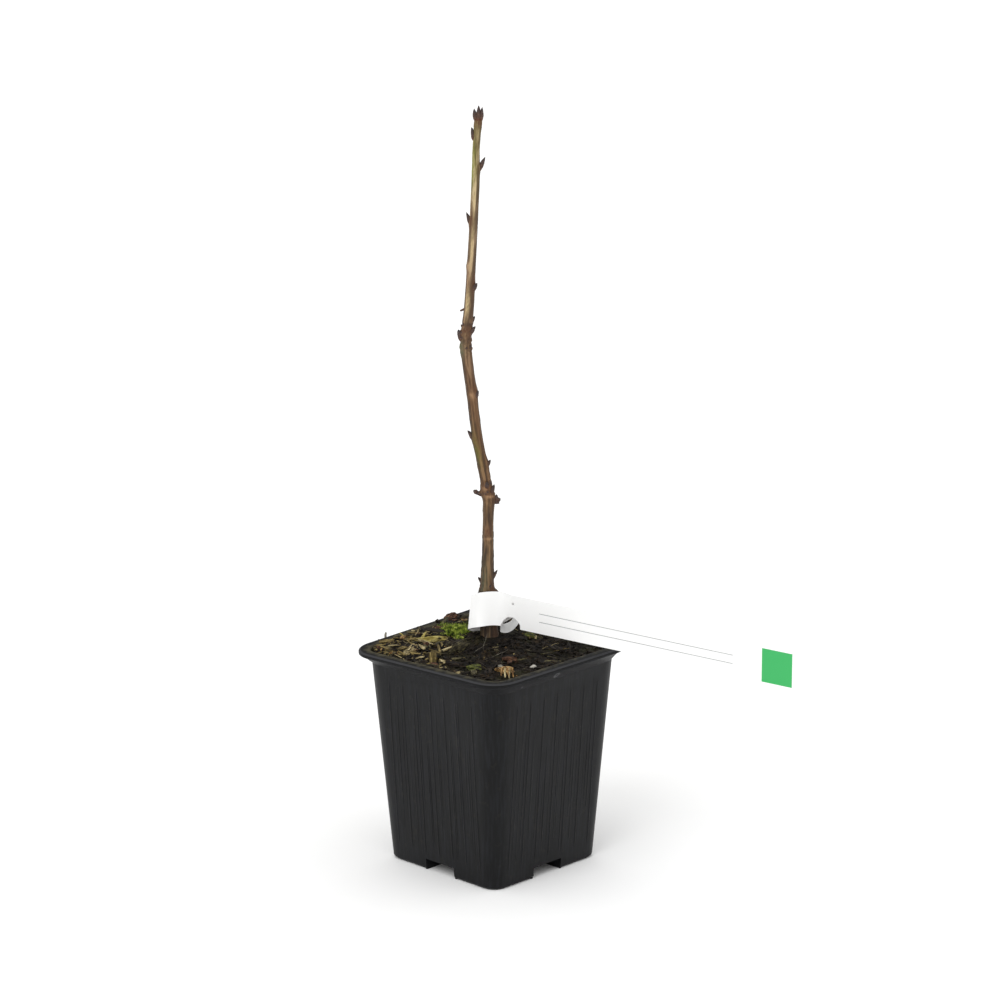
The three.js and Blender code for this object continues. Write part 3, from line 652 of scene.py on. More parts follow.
# A thin green film of algae in patches
filmPattern = addNode(tree, "ShaderNodeTexNoise",
                      inputs={"Vector": coordinates.outputs["Object"], "Scale": 110, "Detail": 4})
filmShare = addNode(tree, "ShaderNodeMapRange",
                    inputs={"Value": filmPattern.outputs["Fac"], "From Min": 0.5, "From Max": 0.64,
                            "To Max": 0.55})
filmedPeat = addNode(tree, "ShaderNodeMix", {"data_type": "RGBA"},
                     {0: filmShare.outputs[0], 6: peatMix.outputs[2], 7: hexColour("#292915")})
tree.links.new(filmedPeat.outputs[2], shader.inputs["Base Color"])
tree.links.new(clodBump.outputs[0], shader.inputs["Normal"])
finishPiece(compostPiece, peat, ["compost"])
print("compost done")


# Bark chips

# Shredded and composted conifer bark, in several paints: fibres along the grain, dark cracks
# 0.3 to 0.8 mm apart and a torn, dry surface
def barkMaterial(name, dark, middle, light):
    material, tree, shader = newMaterial(name, Roughness=0.85, **{"Specular IOR Level": 0.3})
    grain = addNode(tree, "ShaderNodeAttribute", {"attribute_name": "grain"})
    fibrePlace = addNode(tree, "ShaderNodeMapping",
                         inputs={"Vector": grain.outputs["Vector"], "Scale": (0.12, 1, 1)})
    fibres = addNode(tree, "ShaderNodeTexNoise",
                     inputs={"Vector": fibrePlace.outputs[0], "Scale": 1700, "Detail": 4,
                             "Roughness": 0.65})
    stains = addNode(tree, "ShaderNodeTexNoise",
                     inputs={"Vector": grain.outputs["Vector"], "Scale": 420, "Detail": 3})
    fibreColour = addNode(tree, "ShaderNodeValToRGB", inputs={"Fac": fibres.outputs["Fac"]},
                          stops=[(0.36, dark), (0.5, middle), (0.66, light)])
    stainShare = addNode(tree, "ShaderNodeMapRange",
                         inputs={"Value": stains.outputs["Fac"], "From Min": 0.5, "From Max": 0.68,
                                 "To Max": 0.75})
    stained = addNode(tree, "ShaderNodeMix", {"data_type": "RGBA"},
                      {0: stainShare.outputs[0], 6: fibreColour.outputs["Color"], 7: hexColour(dark)})
    bump = addNode(tree, "ShaderNodeBump",
                   inputs={"Height": fibres.outputs["Fac"], "Strength": 0.8, "Distance": 0.0004})
    tree.links.new(stained.outputs[2], shader.inputs["Base Color"])
    tree.links.new(bump.outputs[0], shader.inputs["Normal"])
    return material


barkPaints = {
    "pale": barkMaterial("weatheredPaleBark", "#292211", "#6a5b34", "#a3905b"),
    "yellow": barkMaterial("dampYellowBark", "#443a16", "#9c8d47", "#dacd88"),
    "olive": barkMaterial("agedOliveBark", "#19160e", "#413b2a", "#6e6746"),
    "grey": barkMaterial("deadRootFibre", "#4a463c", "#7a7568", "#a5a091"),
    "warm": barkMaterial("freshOrangeBark", "#352110", "#7b592d", "#dabb80"),
    "red": barkMaterial("wetRedBark", "#1d120c", "#452d20", "#7c573e"),
    "mossy": barkMaterial("mossyBark", "#171a09", "#454a1f", "#84863f"),
    "dark": barkMaterial("compostedDarkBark", "#090705", "#1a140e", "#36291a"),
    "straw": barkMaterial("dryStrawFibre", "#5e5138", "#96875f", "#c2b58c"),
}

chipShape = {
    "seed": 11,
    "spans": (28, 8, 4),
    "taper": 0.45,
    "ridge": 0.4,
    "tear": 0.26,
    "edgeTear": 0.3,
    "fray": 0.5,
    "endFray": 0.12,
    "bend": 0.16,
    "strands": 3,
    "strandLength": (0.72, 1.04),
    "strandWidth": 1.4,
    "strandThick": (0.7, 1.1),
    "strandTurns": (4, 3, 14),  # most turn, pitch and roll that a strand is askew by
    "strandLift": 0.12,
}
chips = [
    {"name": "bark_chip_yellow", "size": (15, 3.2, 1.6), "paint": "yellow",
     "turn": -37, "pitch": 2, "roll": 12},
    {"name": "bark_chip_tan", "size": (11, 3.2, 1.6), "paint": "straw",
     "turn": 14, "pitch": -15, "roll": 16},
    {"name": "bark_chip_upright", "size": (6.5, 2.6, 1.3), "paint": "pale",
     "turn": 60, "pitch": -58, "roll": 0},
    {"name": "bark_chip_grey", "size": (8, 3.4, 1.6), "paint": "dark",
     "turn": 100, "pitch": 6, "roll": -10},
    {"name": "bark_ridge", "size": (22, 4.4, 3), "paint": "olive",
     "turn": 13, "pitch": -2, "roll": 8},
    {"name": "bark_chip_orange", "size": (8.6, 4.6, 2), "paint": "warm",
     "turn": -12, "pitch": 8, "roll": 14},
    {"name": "bark_chip_red", "size": (7.4, 3.8, 1.8), "paint": "red",
     "turn": -30, "pitch": 14, "roll": -12},
    {"name": "bark_spike", "size": (9.5, 3.8, 1.8), "paint": "dark",
     "turn": 50, "pitch": -62, "roll": 18},
    {"name": "bark_chip_back", "size": (6.4, 3.6, 1.6), "paint": "red",
     "turn": -8, "pitch": -17, "roll": 8},
    {"name": "bark_chip_olive", "size": (9, 3.4, 1.6), "paint": "mossy",
     "turn": -86, "pitch": 4, "roll": -14},
    {"name": "bark_chip_right", "size": (10, 4.6, 2), "paint": "dark",
     "turn": 66, "pitch": 4, "roll": 10},
    {"name": "bark_chip_front", "size": (6.4, 4, 2), "paint": "mossy",
     "turn": -28, "pitch": 6, "roll": 10},
]


def laidTurn(turn, pitch, roll):
    turned = Matrix.Rotation(math.radians(turn), 4, "Z") @ Matrix.Rotation(math.radians(pitch), 4, "Y")
    return turned @ Matrix.Rotation(math.radians(roll), 4, "X")


# A torn plank of bark, in millimetres about the origin: ridged along its grain, its ends
# narrower, thinner and frayed. The seed gives each chip its own tear.
def makeChip(name, size, spans, seed):
    deselectAll()
    bpy.ops.mesh.primitive_cube_add(size=1)
    piece = nameActive(name)
    for axis, count in enumerate(spans):
        if count == 1:
            continue
        bpy.ops.object.mode_set(mode="EDIT")
        bpy.ops.mesh.select_mode(type="EDGE")
        bpy.ops.mesh.select_all(action="DESELECT")
        bpy.ops.object.mode_set(mode="OBJECT")
        for edge in piece.data.edges:
            ends = [piece.data.vertices[i].co for i in edge.vertices]
            edge.select = abs(ends[0][axis] - ends[1][axis]) > 1e-4
        bpy.ops.object.mode_set(mode="EDIT")
        bpy.ops.mesh.subdivide(number_cuts=count - 1)
        bpy.ops.mesh.select_mode(type="VERT")
        bpy.ops.object.mode_set(mode="OBJECT")
    length, width, thick = size
    for vertex in piece.data.vertices:
        x, y, z = vertex.co
        end = abs(x) * 2
        keep = 1 - chipShape["taper"] * end ** 3
        ridge = noise.noise(Vector((x * 2, y * 5 + seed, z * 3)))
        tear = noise.noise(Vector((x * 7 + seed, y * 2, z * 2)))
        fray = noise.noise(Vector((seed, y * 6, z * 5))) * chipShape["fray"] * end ** 3
        vertex.co = Vector((
            (x + math.copysign(chipShape["endFray"] * fray, x)) * length,
            (y * keep * (1 + chipShape["ridge"] * ridge)
             + chipShape["edgeTear"] * chipShape["tear"] * tear) * width,
            z * keep * thick * (1 + 2 * chipShape["tear"] * ridge)
            + chipShape["bend"] * thick * math.sin(x * 5 + seed),
        ))
    return piece


# A chip is torn into strands that lie side by side, each a little askew
dice = random.Random(chipShape["seed"])


def makeTornChip(name, size):
    length, width, thick = size
    strands = []
    for strand in range(chipShape["strands"]):
        across = ((strand + 0.5) / chipShape["strands"] - 0.5) * width
        own = (length * dice.uniform(*chipShape["strandLength"]),
               width / chipShape["strands"] * chipShape["strandWidth"],
               thick * dice.uniform(*chipShape["strandThick"]))
        piece = makeChip(f"{name}_{strand}", own, chipShape["spans"], dice.uniform(0, 40))
        askew = laidTurn(*(dice.uniform(-most, most) for most in chipShape["strandTurns"]))
        along = dice.uniform(-0.5, 0.5) * (length - own[0])
        lift = dice.uniform(-chipShape["strandLift"], chipShape["strandLift"]) * thick
        piece.data.transform(Matrix.Translation((along, across, lift)) @ askew)
        strands.append(piece)
    piece = joinPieces(strands)
    piece.name = piece.data.name = name
    return piece


for chip in chips:
    low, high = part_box(chip["name"])
    piece = makeTornChip(chip["name"] + "_torn", chip["size"])
    keepGrain(piece, [vertex.co * mm for vertex in piece.data.vertices])
    move = Matrix.Translation((low + high) / 2) @ laidTurn(chip["turn"], chip["pitch"], chip["roll"])
    piece.data.transform(move @ Matrix.Scale(mm, 4))
    smoothShade(piece, 32)
    finishPiece(piece, barkPaints[chip["paint"]], [chip["name"]])
print("bark chips done")


# Litter

# Many copies of a few small shapes in one mesh. Each copy is a shape, a size, a turn, a place
# and the number of its material.
def scatterCopies(name, materials, copies):
    vertices, faces, slots, grain = [], [], [], []
    for shape, size, turn, place, slot in copies:
        start = len(vertices)
        for vertex in shape.data.vertices:
            local = Vector(a * b for a, b in zip(vertex.co, size))
            vertices.append((turn @ local + place) * mm)
            grain.append((local + place * 3) * mm)
        for polygon in shape.data.polygons:
            faces.append([start + i for i in polygon.vertices])
            slots.append(slot)
    mesh = bpy.data.meshes.new(name)
    mesh.from_pydata(vertices, [], faces)
    piece = bpy.data.objects.new(name, mesh)
    bpy.context.scene.collection.objects.link(piece)
    for material in materials:
        mesh.materials.append(material)
    mesh.polygons.foreach_set("material_index", slots)
    keepGrain(piece, grain)
    smoothShade(piece, 60)
    return piece


# Crumbs of peat, flakes of bark, splinters and root fibres. They are tan and olive on the left,
# and from rightFrom they turn nearly all dark over rightSpan.
litter = {
    "seed": 5,
    "stemMiddle": (-1, -1),
    "stemClear": 4.4,
    "edgeClear": 0.8,
    "rightFrom": -42,
    "rightSpan": 32,
    "fibreBow": 0.22,
    "fibreWave": 0.08,
    "fibreThick": 0.04,
}


# A round bit 1 wide, with knobs of a height and frequency. The shift gives it its own pattern.
def makeCrumb(name, subdivisions, knobs, rate, shift):
    deselectAll()
    bpy.ops.mesh.primitive_ico_sphere_add(subdivisions=subdivisions, radius=0.5)
    crumb = nameActive(name)
    for vertex in crumb.data.vertices:
        vertex.co *= 1 + knobs * noise.noise(vertex.co * rate + Vector((shift, 0, 0)))
    return crumb


crumbShape = makeCrumb("crumb_shape", 1, 0.7, 3.1, 0)
clodShape = makeCrumb("clod_shape", 2, 0.8, 4.3, 5)
flakeShape = makeChip("flake_shape", (1, 1, 1), (5, 3, 1), 2.3)
splinterShape = makeChip("splinter_shape", (1, 1, 1), (6, 2, 1), 8.1)


# A root fibre is a thin bent tube, 1 long
def placeOnFibre(u, v):
    angle = 2 * math.pi * u
    taper = math.sin(math.pi * min(max(v, 0.02), 0.98)) ** 0.5
    bow = litter["fibreBow"] * math.sin(math.pi * v) + litter["fibreWave"] * math.sin(3 * math.pi * v)
    reach = 0.5 * taper * litter["fibreThick"]
    return Vector((v - 0.5, bow + reach * math.cos(angle), reach * math.sin(angle)))


fibreShape = closeShape(shapedGrid("fibre_shape", 4, 9, placeOnFibre))

dice = random.Random(litter["seed"])
paintNames = ["dark", "pale", "warm", "straw", "grey", "yellow", "olive", "red"]
litterPaints = [peat] + [barkPaints[name] for name in paintNames]


def anyTurn(pitch, roll):
    return laidTurn(dice.uniform(0, 360), dice.uniform(-pitch, pitch), dice.uniform(-roll, roll)).to_3x3()


# A place on the compost that is clear of the stem and inside the mouth
def anyPlace(lift):
    while True:
        u, v = dice.uniform(-1, 1), dice.uniform(-1, 1)
        x, y = roundedSquare(u, v, innerHalf - litter["edgeClear"], innerCorner)
        stemX, stemY = litter["stemMiddle"]
        if math.hypot(x - stemX, y - stemY) > litter["stemClear"]:
            return Vector((x, y, compostSurface(x, y) + lift))


# 0 where the litter is as it is on the left and 1 where it is as it is on the right
def rightShare(place):
    return min(1, max(0, (place.dot(sideways) - litter["rightFrom"]) / litter["rightSpan"]))


# A size for a kind of bit, drawn between its limits
def anySize(kind):
    return dice.uniform(*kind["long"]), dice.uniform(*kind["wide"]), dice.uniform(*kind["thick"])


# The number of a bit's paint, by how often a kind has each paint at the left and at the right
def anyPaint(place, kind):
    share = rightShare(place)
    weights = [a + (b - a) * share for a, b in zip(kind["left"], kind["right"])]
    return dice.choices(range(len(weights)), weights)[0]


# Each kind of bit: its shape, how many, tilt, lift, the share that is left out at the right, its
# sizes, and how often it has each of the litter's paints at the left and at the right
kinds = [
    {"shape": crumbShape, "count": 1900, "tilt": (30, 40), "lift": (-0.2, 0.35), "thin": 0.2,
     "long": (0.7, 2.4), "wide": (0.7, 1.8), "thick": (0.6, 1.5),
     "left": (5, 3, 1.2, 0.3, 0.2, 0, 0, 2, 0.4), "right": (9, 2, 0.05, 0.05, 0, 0, 0, 0.6, 0)},
    {"shape": clodShape, "count": 120, "tilt": (30, 40), "lift": (-0.6, 0.3), "thin": 0.7,
     "long": (2, 5), "wide": (1.8, 3.6), "thick": (1.2, 2.6),
     "left": (4, 2, 0.8, 0, 0, 0, 0, 2.5, 0.6), "right": (8, 2, 0, 0, 0, 0, 0, 0.6, 0)},
    {"shape": flakeShape, "count": 820, "tilt": (24, 36), "lift": (0, 0.5), "thin": 0.68,
     "long": (1.8, 6), "wide": (0.8, 2.4), "thick": (0.3, 0.8),
     "left": (0.5, 3.6, 5, 0.5, 1, 0, 0.6, 3.4, 0.8), "right": (8, 8, 0.1, 0.05, 0, 0, 0, 1.2, 0)},
    {"shape": flakeShape, "count": 170, "tilt": (14, 30), "lift": (0.1, 0.9), "thin": 0.88,
     "long": (5, 12), "wide": (1.2, 2.8), "thick": (0.5, 1.1),
     "left": (0, 3, 5, 0.4, 1.2, 0, 0.8, 2.4, 0.3), "right": (3, 10, 0.05, 0, 0, 0, 0, 2, 0)},
    {"shape": splinterShape, "count": 480, "tilt": (20, 60), "lift": (0.1, 0.8), "thin": 0.65,
     "long": (3, 10), "wide": (0.3, 1), "thick": (0.25, 0.6),
     "left": (0, 3, 5, 0.8, 2.2, 0, 0.8, 2, 0.3), "right": (0, 9, 0.25, 0.1, 0.1, 0, 0, 1, 0)},
    {"shape": fibreShape, "count": 190, "tilt": (16, 90), "lift": (0.3, 0.9), "thin": 0.4,
     "long": (3, 11), "wide": (3, 10), "thick": (3, 8),
     "left": (0, 3, 3, 0.7, 2.6), "right": (0, 7, 0.6, 0.1, 0.7)},
]

# Bits that catch the eye: shape, the place and lift of both ends, width, thickness and paint
laidBits = [
    (flakeShape, (-12.3, 30.5, 0.8), (-9.6, 21.9, 0.8), 2.2, 0.8, "straw"),
    (flakeShape, (-36.7, 33.6, 0.8), (-35.8, 23, 0.8), 2.2, 0.9, "pale"),
    (flakeShape, (-26, 31, 1), (-20, 36, 1), 2.6, 1, "warm"),
    (flakeShape, (-33.4, -2.6, 0.7), (-31, 1.6, 0.7), 1.8, 0.7, "straw"),
    (flakeShape, (-25, 8, 0.8), (-17, 7, 0.8), 1.7, 0.7, "straw"),
    (flakeShape, (-3, 34, 0.7), (1.6, 37.4, 0.7), 2.4, 1.1, "pale"),
    (flakeShape, (-21.6, 24, 0.9), (-13.6, 28.6, 1.2), 1.2, 0.6, "yellow"),
    (splinterShape, (-26.4, 41.6, 0.4), (-25.9, 41.7, 2.9), 0.8, 0.6, "grey"),
    (flakeShape, (8, 33, 0.9), (14.6, 35.4, 0.9), 2.2, 0.9, "red"),
    (flakeShape, (13, 30, 1), (20, 35, 1), 1.5, 0.8, "pale"),
    (flakeShape, (17.6, 35.6, 1.1), (21.6, 36.4, 1.1), 2.2, 1, "red"),
    (flakeShape, (5, 36.8, 0.9), (9.6, 37.6, 1.6), 2, 0.9, "olive"),
    (flakeShape, (13.6, 31.6, 0.8), (17.8, 35, 0.8), 3, 1.1, "warm"),
    (flakeShape, (-33, -21, 0.8), (-29, -15.4, 0.8), 2.8, 1, "olive"),
    (flakeShape, (-24, -31, 1.7), (-18.4, -26.8, 1.7), 3.4, 1, "warm"),
    (splinterShape, (-22.2, -26.8, 2.4), (-27.4, -31.8, 1.4), 0.7, 0.5, "warm"),
    (splinterShape, (-21.4, -28, 2.4), (-26.8, -33.6, 1.1), 0.9, 0.6, "straw"),
    (splinterShape, (-20.6, -28.6, 2.5), (-25.2, -34.2, 1.5), 0.6, 0.5, "warm"),
    (splinterShape, (-20, -29.6, 2.3), (-26, -35.2, 1), 0.8, 0.5, "straw"),
    (splinterShape, (-19.2, -30.4, 2.3), (-23.8, -35.6, 1.4), 0.7, 0.5, "warm"),
    (flakeShape, (-19.3, -22.4, 1.2), (-20.2, -25.8, 1.2), 2, 0.8, "grey"),
    (flakeShape, (-14, -23.8, 1.2), (-10, -20.6, 1.2), 2.2, 0.8, "red"),
    (splinterShape, (17, -6.4, 0.9), (21.8, -3.8, 0.9), 1.2, 0.5, "pale"),
    (splinterShape, (18, -9, 1), (21, -6.6, 1), 0.9, 0.5, "straw"),
    (fibreShape, (-8.6, -3.1, 1.8), (6.2, 7, 1.8), 4, 4, "grey"),
    (fibreShape, (-17.5, -5.6, 1.6), (-7.8, -5.4, 1.6), 4, 4, "grey"),
    (fibreShape, (-19, -13.9, 1.4), (-4.3, -13.7, 1.4), -4, 5, "grey"),
    (fibreShape, (-14, -8, 2.2), (-3, -1, 2.2), 4, 4, "grey"),
]
copies = []
for shape, start, end, width, thick, paint in laidBits:
    ends = [Vector((x, y, compostSurface(x, y) + lift)) for x, y, lift in (start, end)]
    along = ends[1] - ends[0]
    turn = along.to_track_quat("X", "Z").to_matrix()
    size = (along.length, width, thick)
    copies.append((shape, size, turn, (ends[0] + ends[1]) / 2, paintNames.index(paint) + 1))
for kind in kinds:
    for _ in range(kind["count"]):
        size = anySize(kind)
        place = anyPlace(dice.uniform(*kind["lift"]))
        if dice.random() < kind["thin"] * rightShare(place):
            continue
        copies.append((kind["shape"], size, anyTurn(*kind["tilt"]), place, anyPaint(place, kind)))

# Bits against the wall in the left corner, where the compost reaches the lip. From overFrom they
# lie further out, over the lip.
cornerBits = {
    "shapes": (flakeShape, splinterShape, crumbShape),
    "count": 330,
    "fromWall": (0.8, 4),
    "corner": 7.3,
    "overFrom": 68,
    "over": 0.09,
    "lift": (-0.3, 0.7),
    "top": 98.2,
    "tilt": (24, 40),
    "long": (1.4, 4.4),
    "wide": (0.8, 2),
    "thick": (0.5, 1.2),
    "left": (3, 4, 5, 0.6, 1.2, 0, 0.4, 3, 0.6),
    "right": (4, 8, 0.6, 0.2, 0.2, 0, 0, 1, 0),
}
for _ in range(cornerBits["count"]):
    u, v = dice.uniform(-1, 0.5), dice.uniform(-0.5, 1)
    u, v = (-1, v) if dice.random() < 0.5 else (u, 1)
    half = pot["mouthHalf"] - dice.uniform(*cornerBits["fromWall"])
    x, y = roundedSquare(u, v, half, cornerBits["corner"])
    outer = max(0, y - x - cornerBits["overFrom"]) * cornerBits["over"]
    height = min(compostSurface(x, y) + dice.uniform(*cornerBits["lift"]), cornerBits["top"])
    place = Vector((x - outer, y + outer, height))
    size = anySize(cornerBits)
    paint = anyPaint(place, cornerBits)
    copies.append((dice.choice(cornerBits["shapes"]), size, anyTurn(*cornerBits["tilt"]), place, paint))
litterPiece = scatterCopies("compost_litter", litterPaints, copies)
finishPiece(litterPiece, None)

# Bits that lie on the pot's back lip, where the compost is heaped over it
lipBits = {
    "shapes": (flakeShape, splinterShape, clodShape),
    "count": 7,
    "x": (6, 20),
    "y": (38, 41.8),
    "lift": (0.3, 1.4),
    "tilt": (12, 30),
    "long": (2, 6),
    "wide": (0.9, 2.4),
    "thick": (0.5, 1),
    "left": (2, 6, 3, 1, 1.2),
    "right": (3, 8, 1.4, 0.4, 0.8),
}
copies = []
for _ in range(lipBits["count"]):
    x, y = dice.uniform(*lipBits["x"]), dice.uniform(*lipBits["y"])
    place = Vector((x, y, pot["height"] + dice.uniform(*lipBits["lift"])))
    size = anySize(lipBits)
    paint = anyPaint(place, lipBits)
    copies.append((dice.choice(lipBits["shapes"]), size, anyTurn(*lipBits["tilt"]), place, paint))
lipLitter = scatterCopies("lip_litter", litterPaints, copies)
finishPiece(lipLitter, None)
for shape in (crumbShape, clodShape, flakeShape, splinterShape, fibreShape):
    bpy.data.objects.remove(shape)
print("litter done")


# Perlite

# The knobs of the grain, each as frequency and height, and the small grains beside it, each as
# shift and size
perlite = {
    "knobs": [(900, 0.3), (2600, 0.12)],
    "smallGrains": [((-1.3, 0.4, 0.3), 0.45), ((1.5, 2.1, -0.1), 0.28)],
}

# Expanded volcanic glass: off-white, matt and full of tiny pits, painted darker in the pits (painted shade)
perliteRough, tree, shader = newMaterial("expandedPerlite", Roughness=0.9)
coordinates = addNode(tree, "ShaderNodeTexCoord")
pits = addNode(tree, "ShaderNodeTexVoronoi",
               inputs={"Vector": coordinates.outputs["Object"], "Scale": 2400})
# Painted shade: the bottoms of the pits are darker grey
pitShadeColour = addNode(tree, "ShaderNodeValToRGB", inputs={"Fac": pits.outputs["Distance"]},
                    stops=[(0.0, "#716d64"), (0.4, "#bfbbb1")])
pitBump = addNode(tree, "ShaderNodeBump",
                  inputs={"Height": pits.outputs["Distance"], "Strength": 0.8, "Distance": 0.0003})
tree.links.new(pitShadeColour.outputs["Color"], shader.inputs["Base Color"])
tree.links.new(pitBump.outputs[0], shader.inputs["Normal"])
low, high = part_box("perlite_grain")
deselectAll()
bpy.ops.mesh.primitive_ico_sphere_add(subdivisions=3, radius=(high.x - low.x) / 2)
perlitePiece = nameActive("perlite_pitted")
middle = (low + high) / 2
for vertex in perlitePiece.data.vertices:
    knobs = sum(noise.noise(vertex.co * rate) * height for rate, height in perlite["knobs"])
    vertex.co = vertex.co * (1 + knobs) + middle
satellites = []
for index, (shift, size) in enumerate(perlite["smallGrains"]):
    turn = Matrix.Rotation(index + 1, 4, "Z") @ Matrix.Scale(size, 4) @ Matrix.Translation(-middle)
    move = Matrix.Translation(middle + Vector(shift) * mm) @ turn
    satellites.append(copyMesh(perlitePiece, f"perlite_{index}", move))
joinPieces([perlitePiece, *satellites])
smoothShade(perlitePiece)
finishPiece(perlitePiece, perliteRough, ["perlite_grain"])
print("perlite done")


# Moss

# A cushion of leafy shoots, each a rosette of narrow leaves, and tufts round it, each as place,
# spread and how many shoots
moss = {
    "seed": 3,
    "shoots": 420,
    "leaves": 6,
    "shootHeight": (1.2, 3.1),
    "shootJitter": 0.5,
    "shootSink": 0.3,
    "leafWidth": 0.48,
    "leafFlat": 0.35,
    "leafLength": (0.6, 1),
    "leafSplay": (18, 62),
    "tuftLift": 0.4,
    "tufts": [
        ((0.6, 32.3), 2.6, 34),
        ((-8.6, 22.4), 2.6, 30),
        ((-4.6, 26), 2.8, 34),
        ((5.4, 22), 2.2, 22),
        ((-7.4, 13.4), 2.4, 26),
    ],
}

# Moss leaves: fresh green, mottled from dark green to a pale yellow green
mossGreen, tree, shader = newMaterial("leafyMoss", Roughness=0.7, **{"Specular IOR Level": 0.3})
coordinates = addNode(tree, "ShaderNodeTexCoord")
tufts = addNode(tree, "ShaderNodeTexNoise",
                inputs={"Vector": coordinates.outputs["Object"], "Scale": 560, "Detail": 4})
tuftColour = addNode(tree, "ShaderNodeValToRGB", inputs={"Fac": tufts.outputs["Fac"]},
                     stops=[(0.36, "#27320b"), (0.46, "#62761f"), (0.56, "#96a83a"), (0.7, "#cbd072")])
tree.links.new(tuftColour.outputs["Color"], shader.inputs["Base Color"])

cushion = editNode("moss_clump", "moss_cushion")
bpy.ops.mesh.subdivide(number_cuts=1)
bpy.ops.object.mode_set(mode="OBJECT")
smoothShade(cushion)
seats = [(vertex.co / mm, vertex.normal.copy()) for vertex in cushion.data.vertices
         if vertex.normal.z > 0.05]

deselectAll()
bpy.ops.mesh.primitive_cone_add(vertices=3, radius1=0.5, radius2=0, depth=1, location=(0, 0, 0.5))
leafShape = nameActive("leaf_shape")
leafShape.data.transform(leafShape.matrix_world)
for vertex in leafShape.data.vertices:
    vertex.co.x *= moss["leafFlat"]
dice = random.Random(moss["seed"])
copies = []
shootSeats = [dice.choice(seats) for _ in range(moss["shoots"])]
for (x, y), spread, count in moss["tufts"]:
    for _ in range(count):
        tuftX, tuftY = dice.gauss(x, spread / 2), dice.gauss(y, spread / 2)
        shootSeats.append((Vector((tuftX, tuftY, compostSurface(tuftX, tuftY) + moss["tuftLift"])), up))
jitter = moss["shootJitter"]
for seat, normal in shootSeats:
    shiftX, shiftY = dice.uniform(-jitter, jitter), dice.uniform(-jitter, jitter)
    middle = seat + Vector((shiftX, shiftY, -moss["shootSink"]))
    height = dice.uniform(*moss["shootHeight"])
    lean = normal.lerp(up, 0.5).to_track_quat("Z", "X").to_matrix()
    spin = dice.uniform(0, 360)
    for leaf in range(moss["leaves"]):
        out = Matrix.Rotation(math.radians(spin + leaf * 360 / moss["leaves"]), 3, "Z")
        splay = Matrix.Rotation(math.radians(dice.uniform(*moss["leafSplay"])), 3, "Y")
        size = (moss["leafWidth"], moss["leafWidth"], height * dice.uniform(*moss["leafLength"]))
        copies.append((leafShape, size, lean @ out @ splay, middle, 0))
mossShoots = scatterCopies("moss_shoots", [mossGreen], copies)
bpy.data.objects.remove(leafShape)
joinPieces([cushion, mossShoots])
finishPiece(cushion, mossGreen, ["moss_clump"])
print("moss done")


# Stem

# Each station is a height, the shift sideways, the shift forwards and the diameter
stem = {
    "stations": [
        (101, -1.4, 0, 8.4),
        (106, -1.6, 0, 7.8),
        (118, -2.3, 0.3, 6.7),
        (126, -2.6, 0.5, 6.2),
        (138, -2.3, 0.9, 5.5),
        (153, -2.1, 1.2, 4.8),
        (167, -2.1, 1.0, 4.8),
        (174, -2.8, 0.8, 4.9),
        (182, -4.3, 0.5, 4.9),
        (195, -6.8, 0.2, 4.7),
        (214, -9.1, -0.3, 4.7),
        (233, -11.4, -0.8, 5.0),
        (242, -11.5, -0.9, 4.8),
        (253, -10.4, -0.7, 4.4),
        (272, -9.3, -0.4, 3.9),
        (294, -8.1, 0, 3.7),
        (312, -7.3, 0.4, 3.6),
        (324, -7.1, 0.6, 3.2),
        (336.4, -6.2, 0.8, 3.3),
    ],
    "sides": 56,
    "rings": 520,
    "rootShare": 0.55,
    "furrow": 0.19,
    "thread": 0.6,
    "flake": 0.2,
    "flakeFrom": 0.12,
    "wrinkle": 0.1,
    "knob": 0.55,
    "furrowRates": (3.4, 0.16, 0),  # rates of change round and along the stem, and a shift
    "threadRates": (7.5, 0.3, 40),
    "flakeRates": (2.2, 0.42, 90),
    "knobRates": (2.4, 0.75, 60),
    "wrinkleRates": (1, 2.6, 17),
    "youngFrom": 250,  # the bark above is smooth, and is fully furrowed ageSpan lower
    "ageSpan": 130,
    "smoothShare": 0.35,
    "collars": [(243, 4.2), (236, 3.4), (172, 5), (151, 1.6), (125, 4)],
}

# Knuckles where leaves and shoots stood: height, plan angle, swelling and half height
knuckles = [
    (124, facing["right"], 1.9, 3.2),
    (124, facing["left"], 0.9, 3),
    (151, facing["front"], 0.3, 3),
    (168, facing["right"], 0.9, 5),
    (171, facing["left"], 0.8, 4),
    (184, facing["right"], 0.4, 3),
    (194, facing["left"], 0.4, 3),
    (216, facing["right"], 0.6, 4),
    (234, facing["left"], 0.5, 3),
    (241, facing["left"], 0.3, 4),
    (247, facing["right"], 0.3, 3),
    (263, facing["right"], 0.3, 3),
    (272, facing["left"], 0.3, 2.5),
    (291, facing["left"], 0.4, 3),
    (315, facing["right"], 0.4, 3),
    (334, facing["left"], 0.2, 3),
    (334, facing["right"], 0.2, 3),
]

stemLine = [sideways * side + forwards * forward + up * height
            for height, side, forward, _ in stem["stations"]]


def stemAt(height):
    low, high = 0, 1
    for _ in range(24):
        middle = (low + high) / 2
        if pointAlong(stemLine, middle).z < height:
            low = middle
        else:
            high = middle
    place = min(low * (len(stemLine) - 1), len(stemLine) - 1.0001)
    first = int(place)
    here, there = stem["stations"][first][3], stem["stations"][first + 1][3]
    return pointAlong(stemLine, low), (here + (there - here) * (place - first)) / 2


def swellAt(height, angle):
    swell = 0
    for middle, around, size, reach in knuckles:
        rise = (height - middle) / reach
        side = max(0, math.cos(math.radians(angle - around)))
        swell += size * math.exp(-2 * rise * rise) * side
    return swell


# A random value from -1 to 1 that changes at one rate round the stem and another along it
def barkNoise(height, angle, around, along, shift):
    turn = planVector(angle) * around
    return noise.noise(Vector((turn.x, turn.y, height * along + shift)))


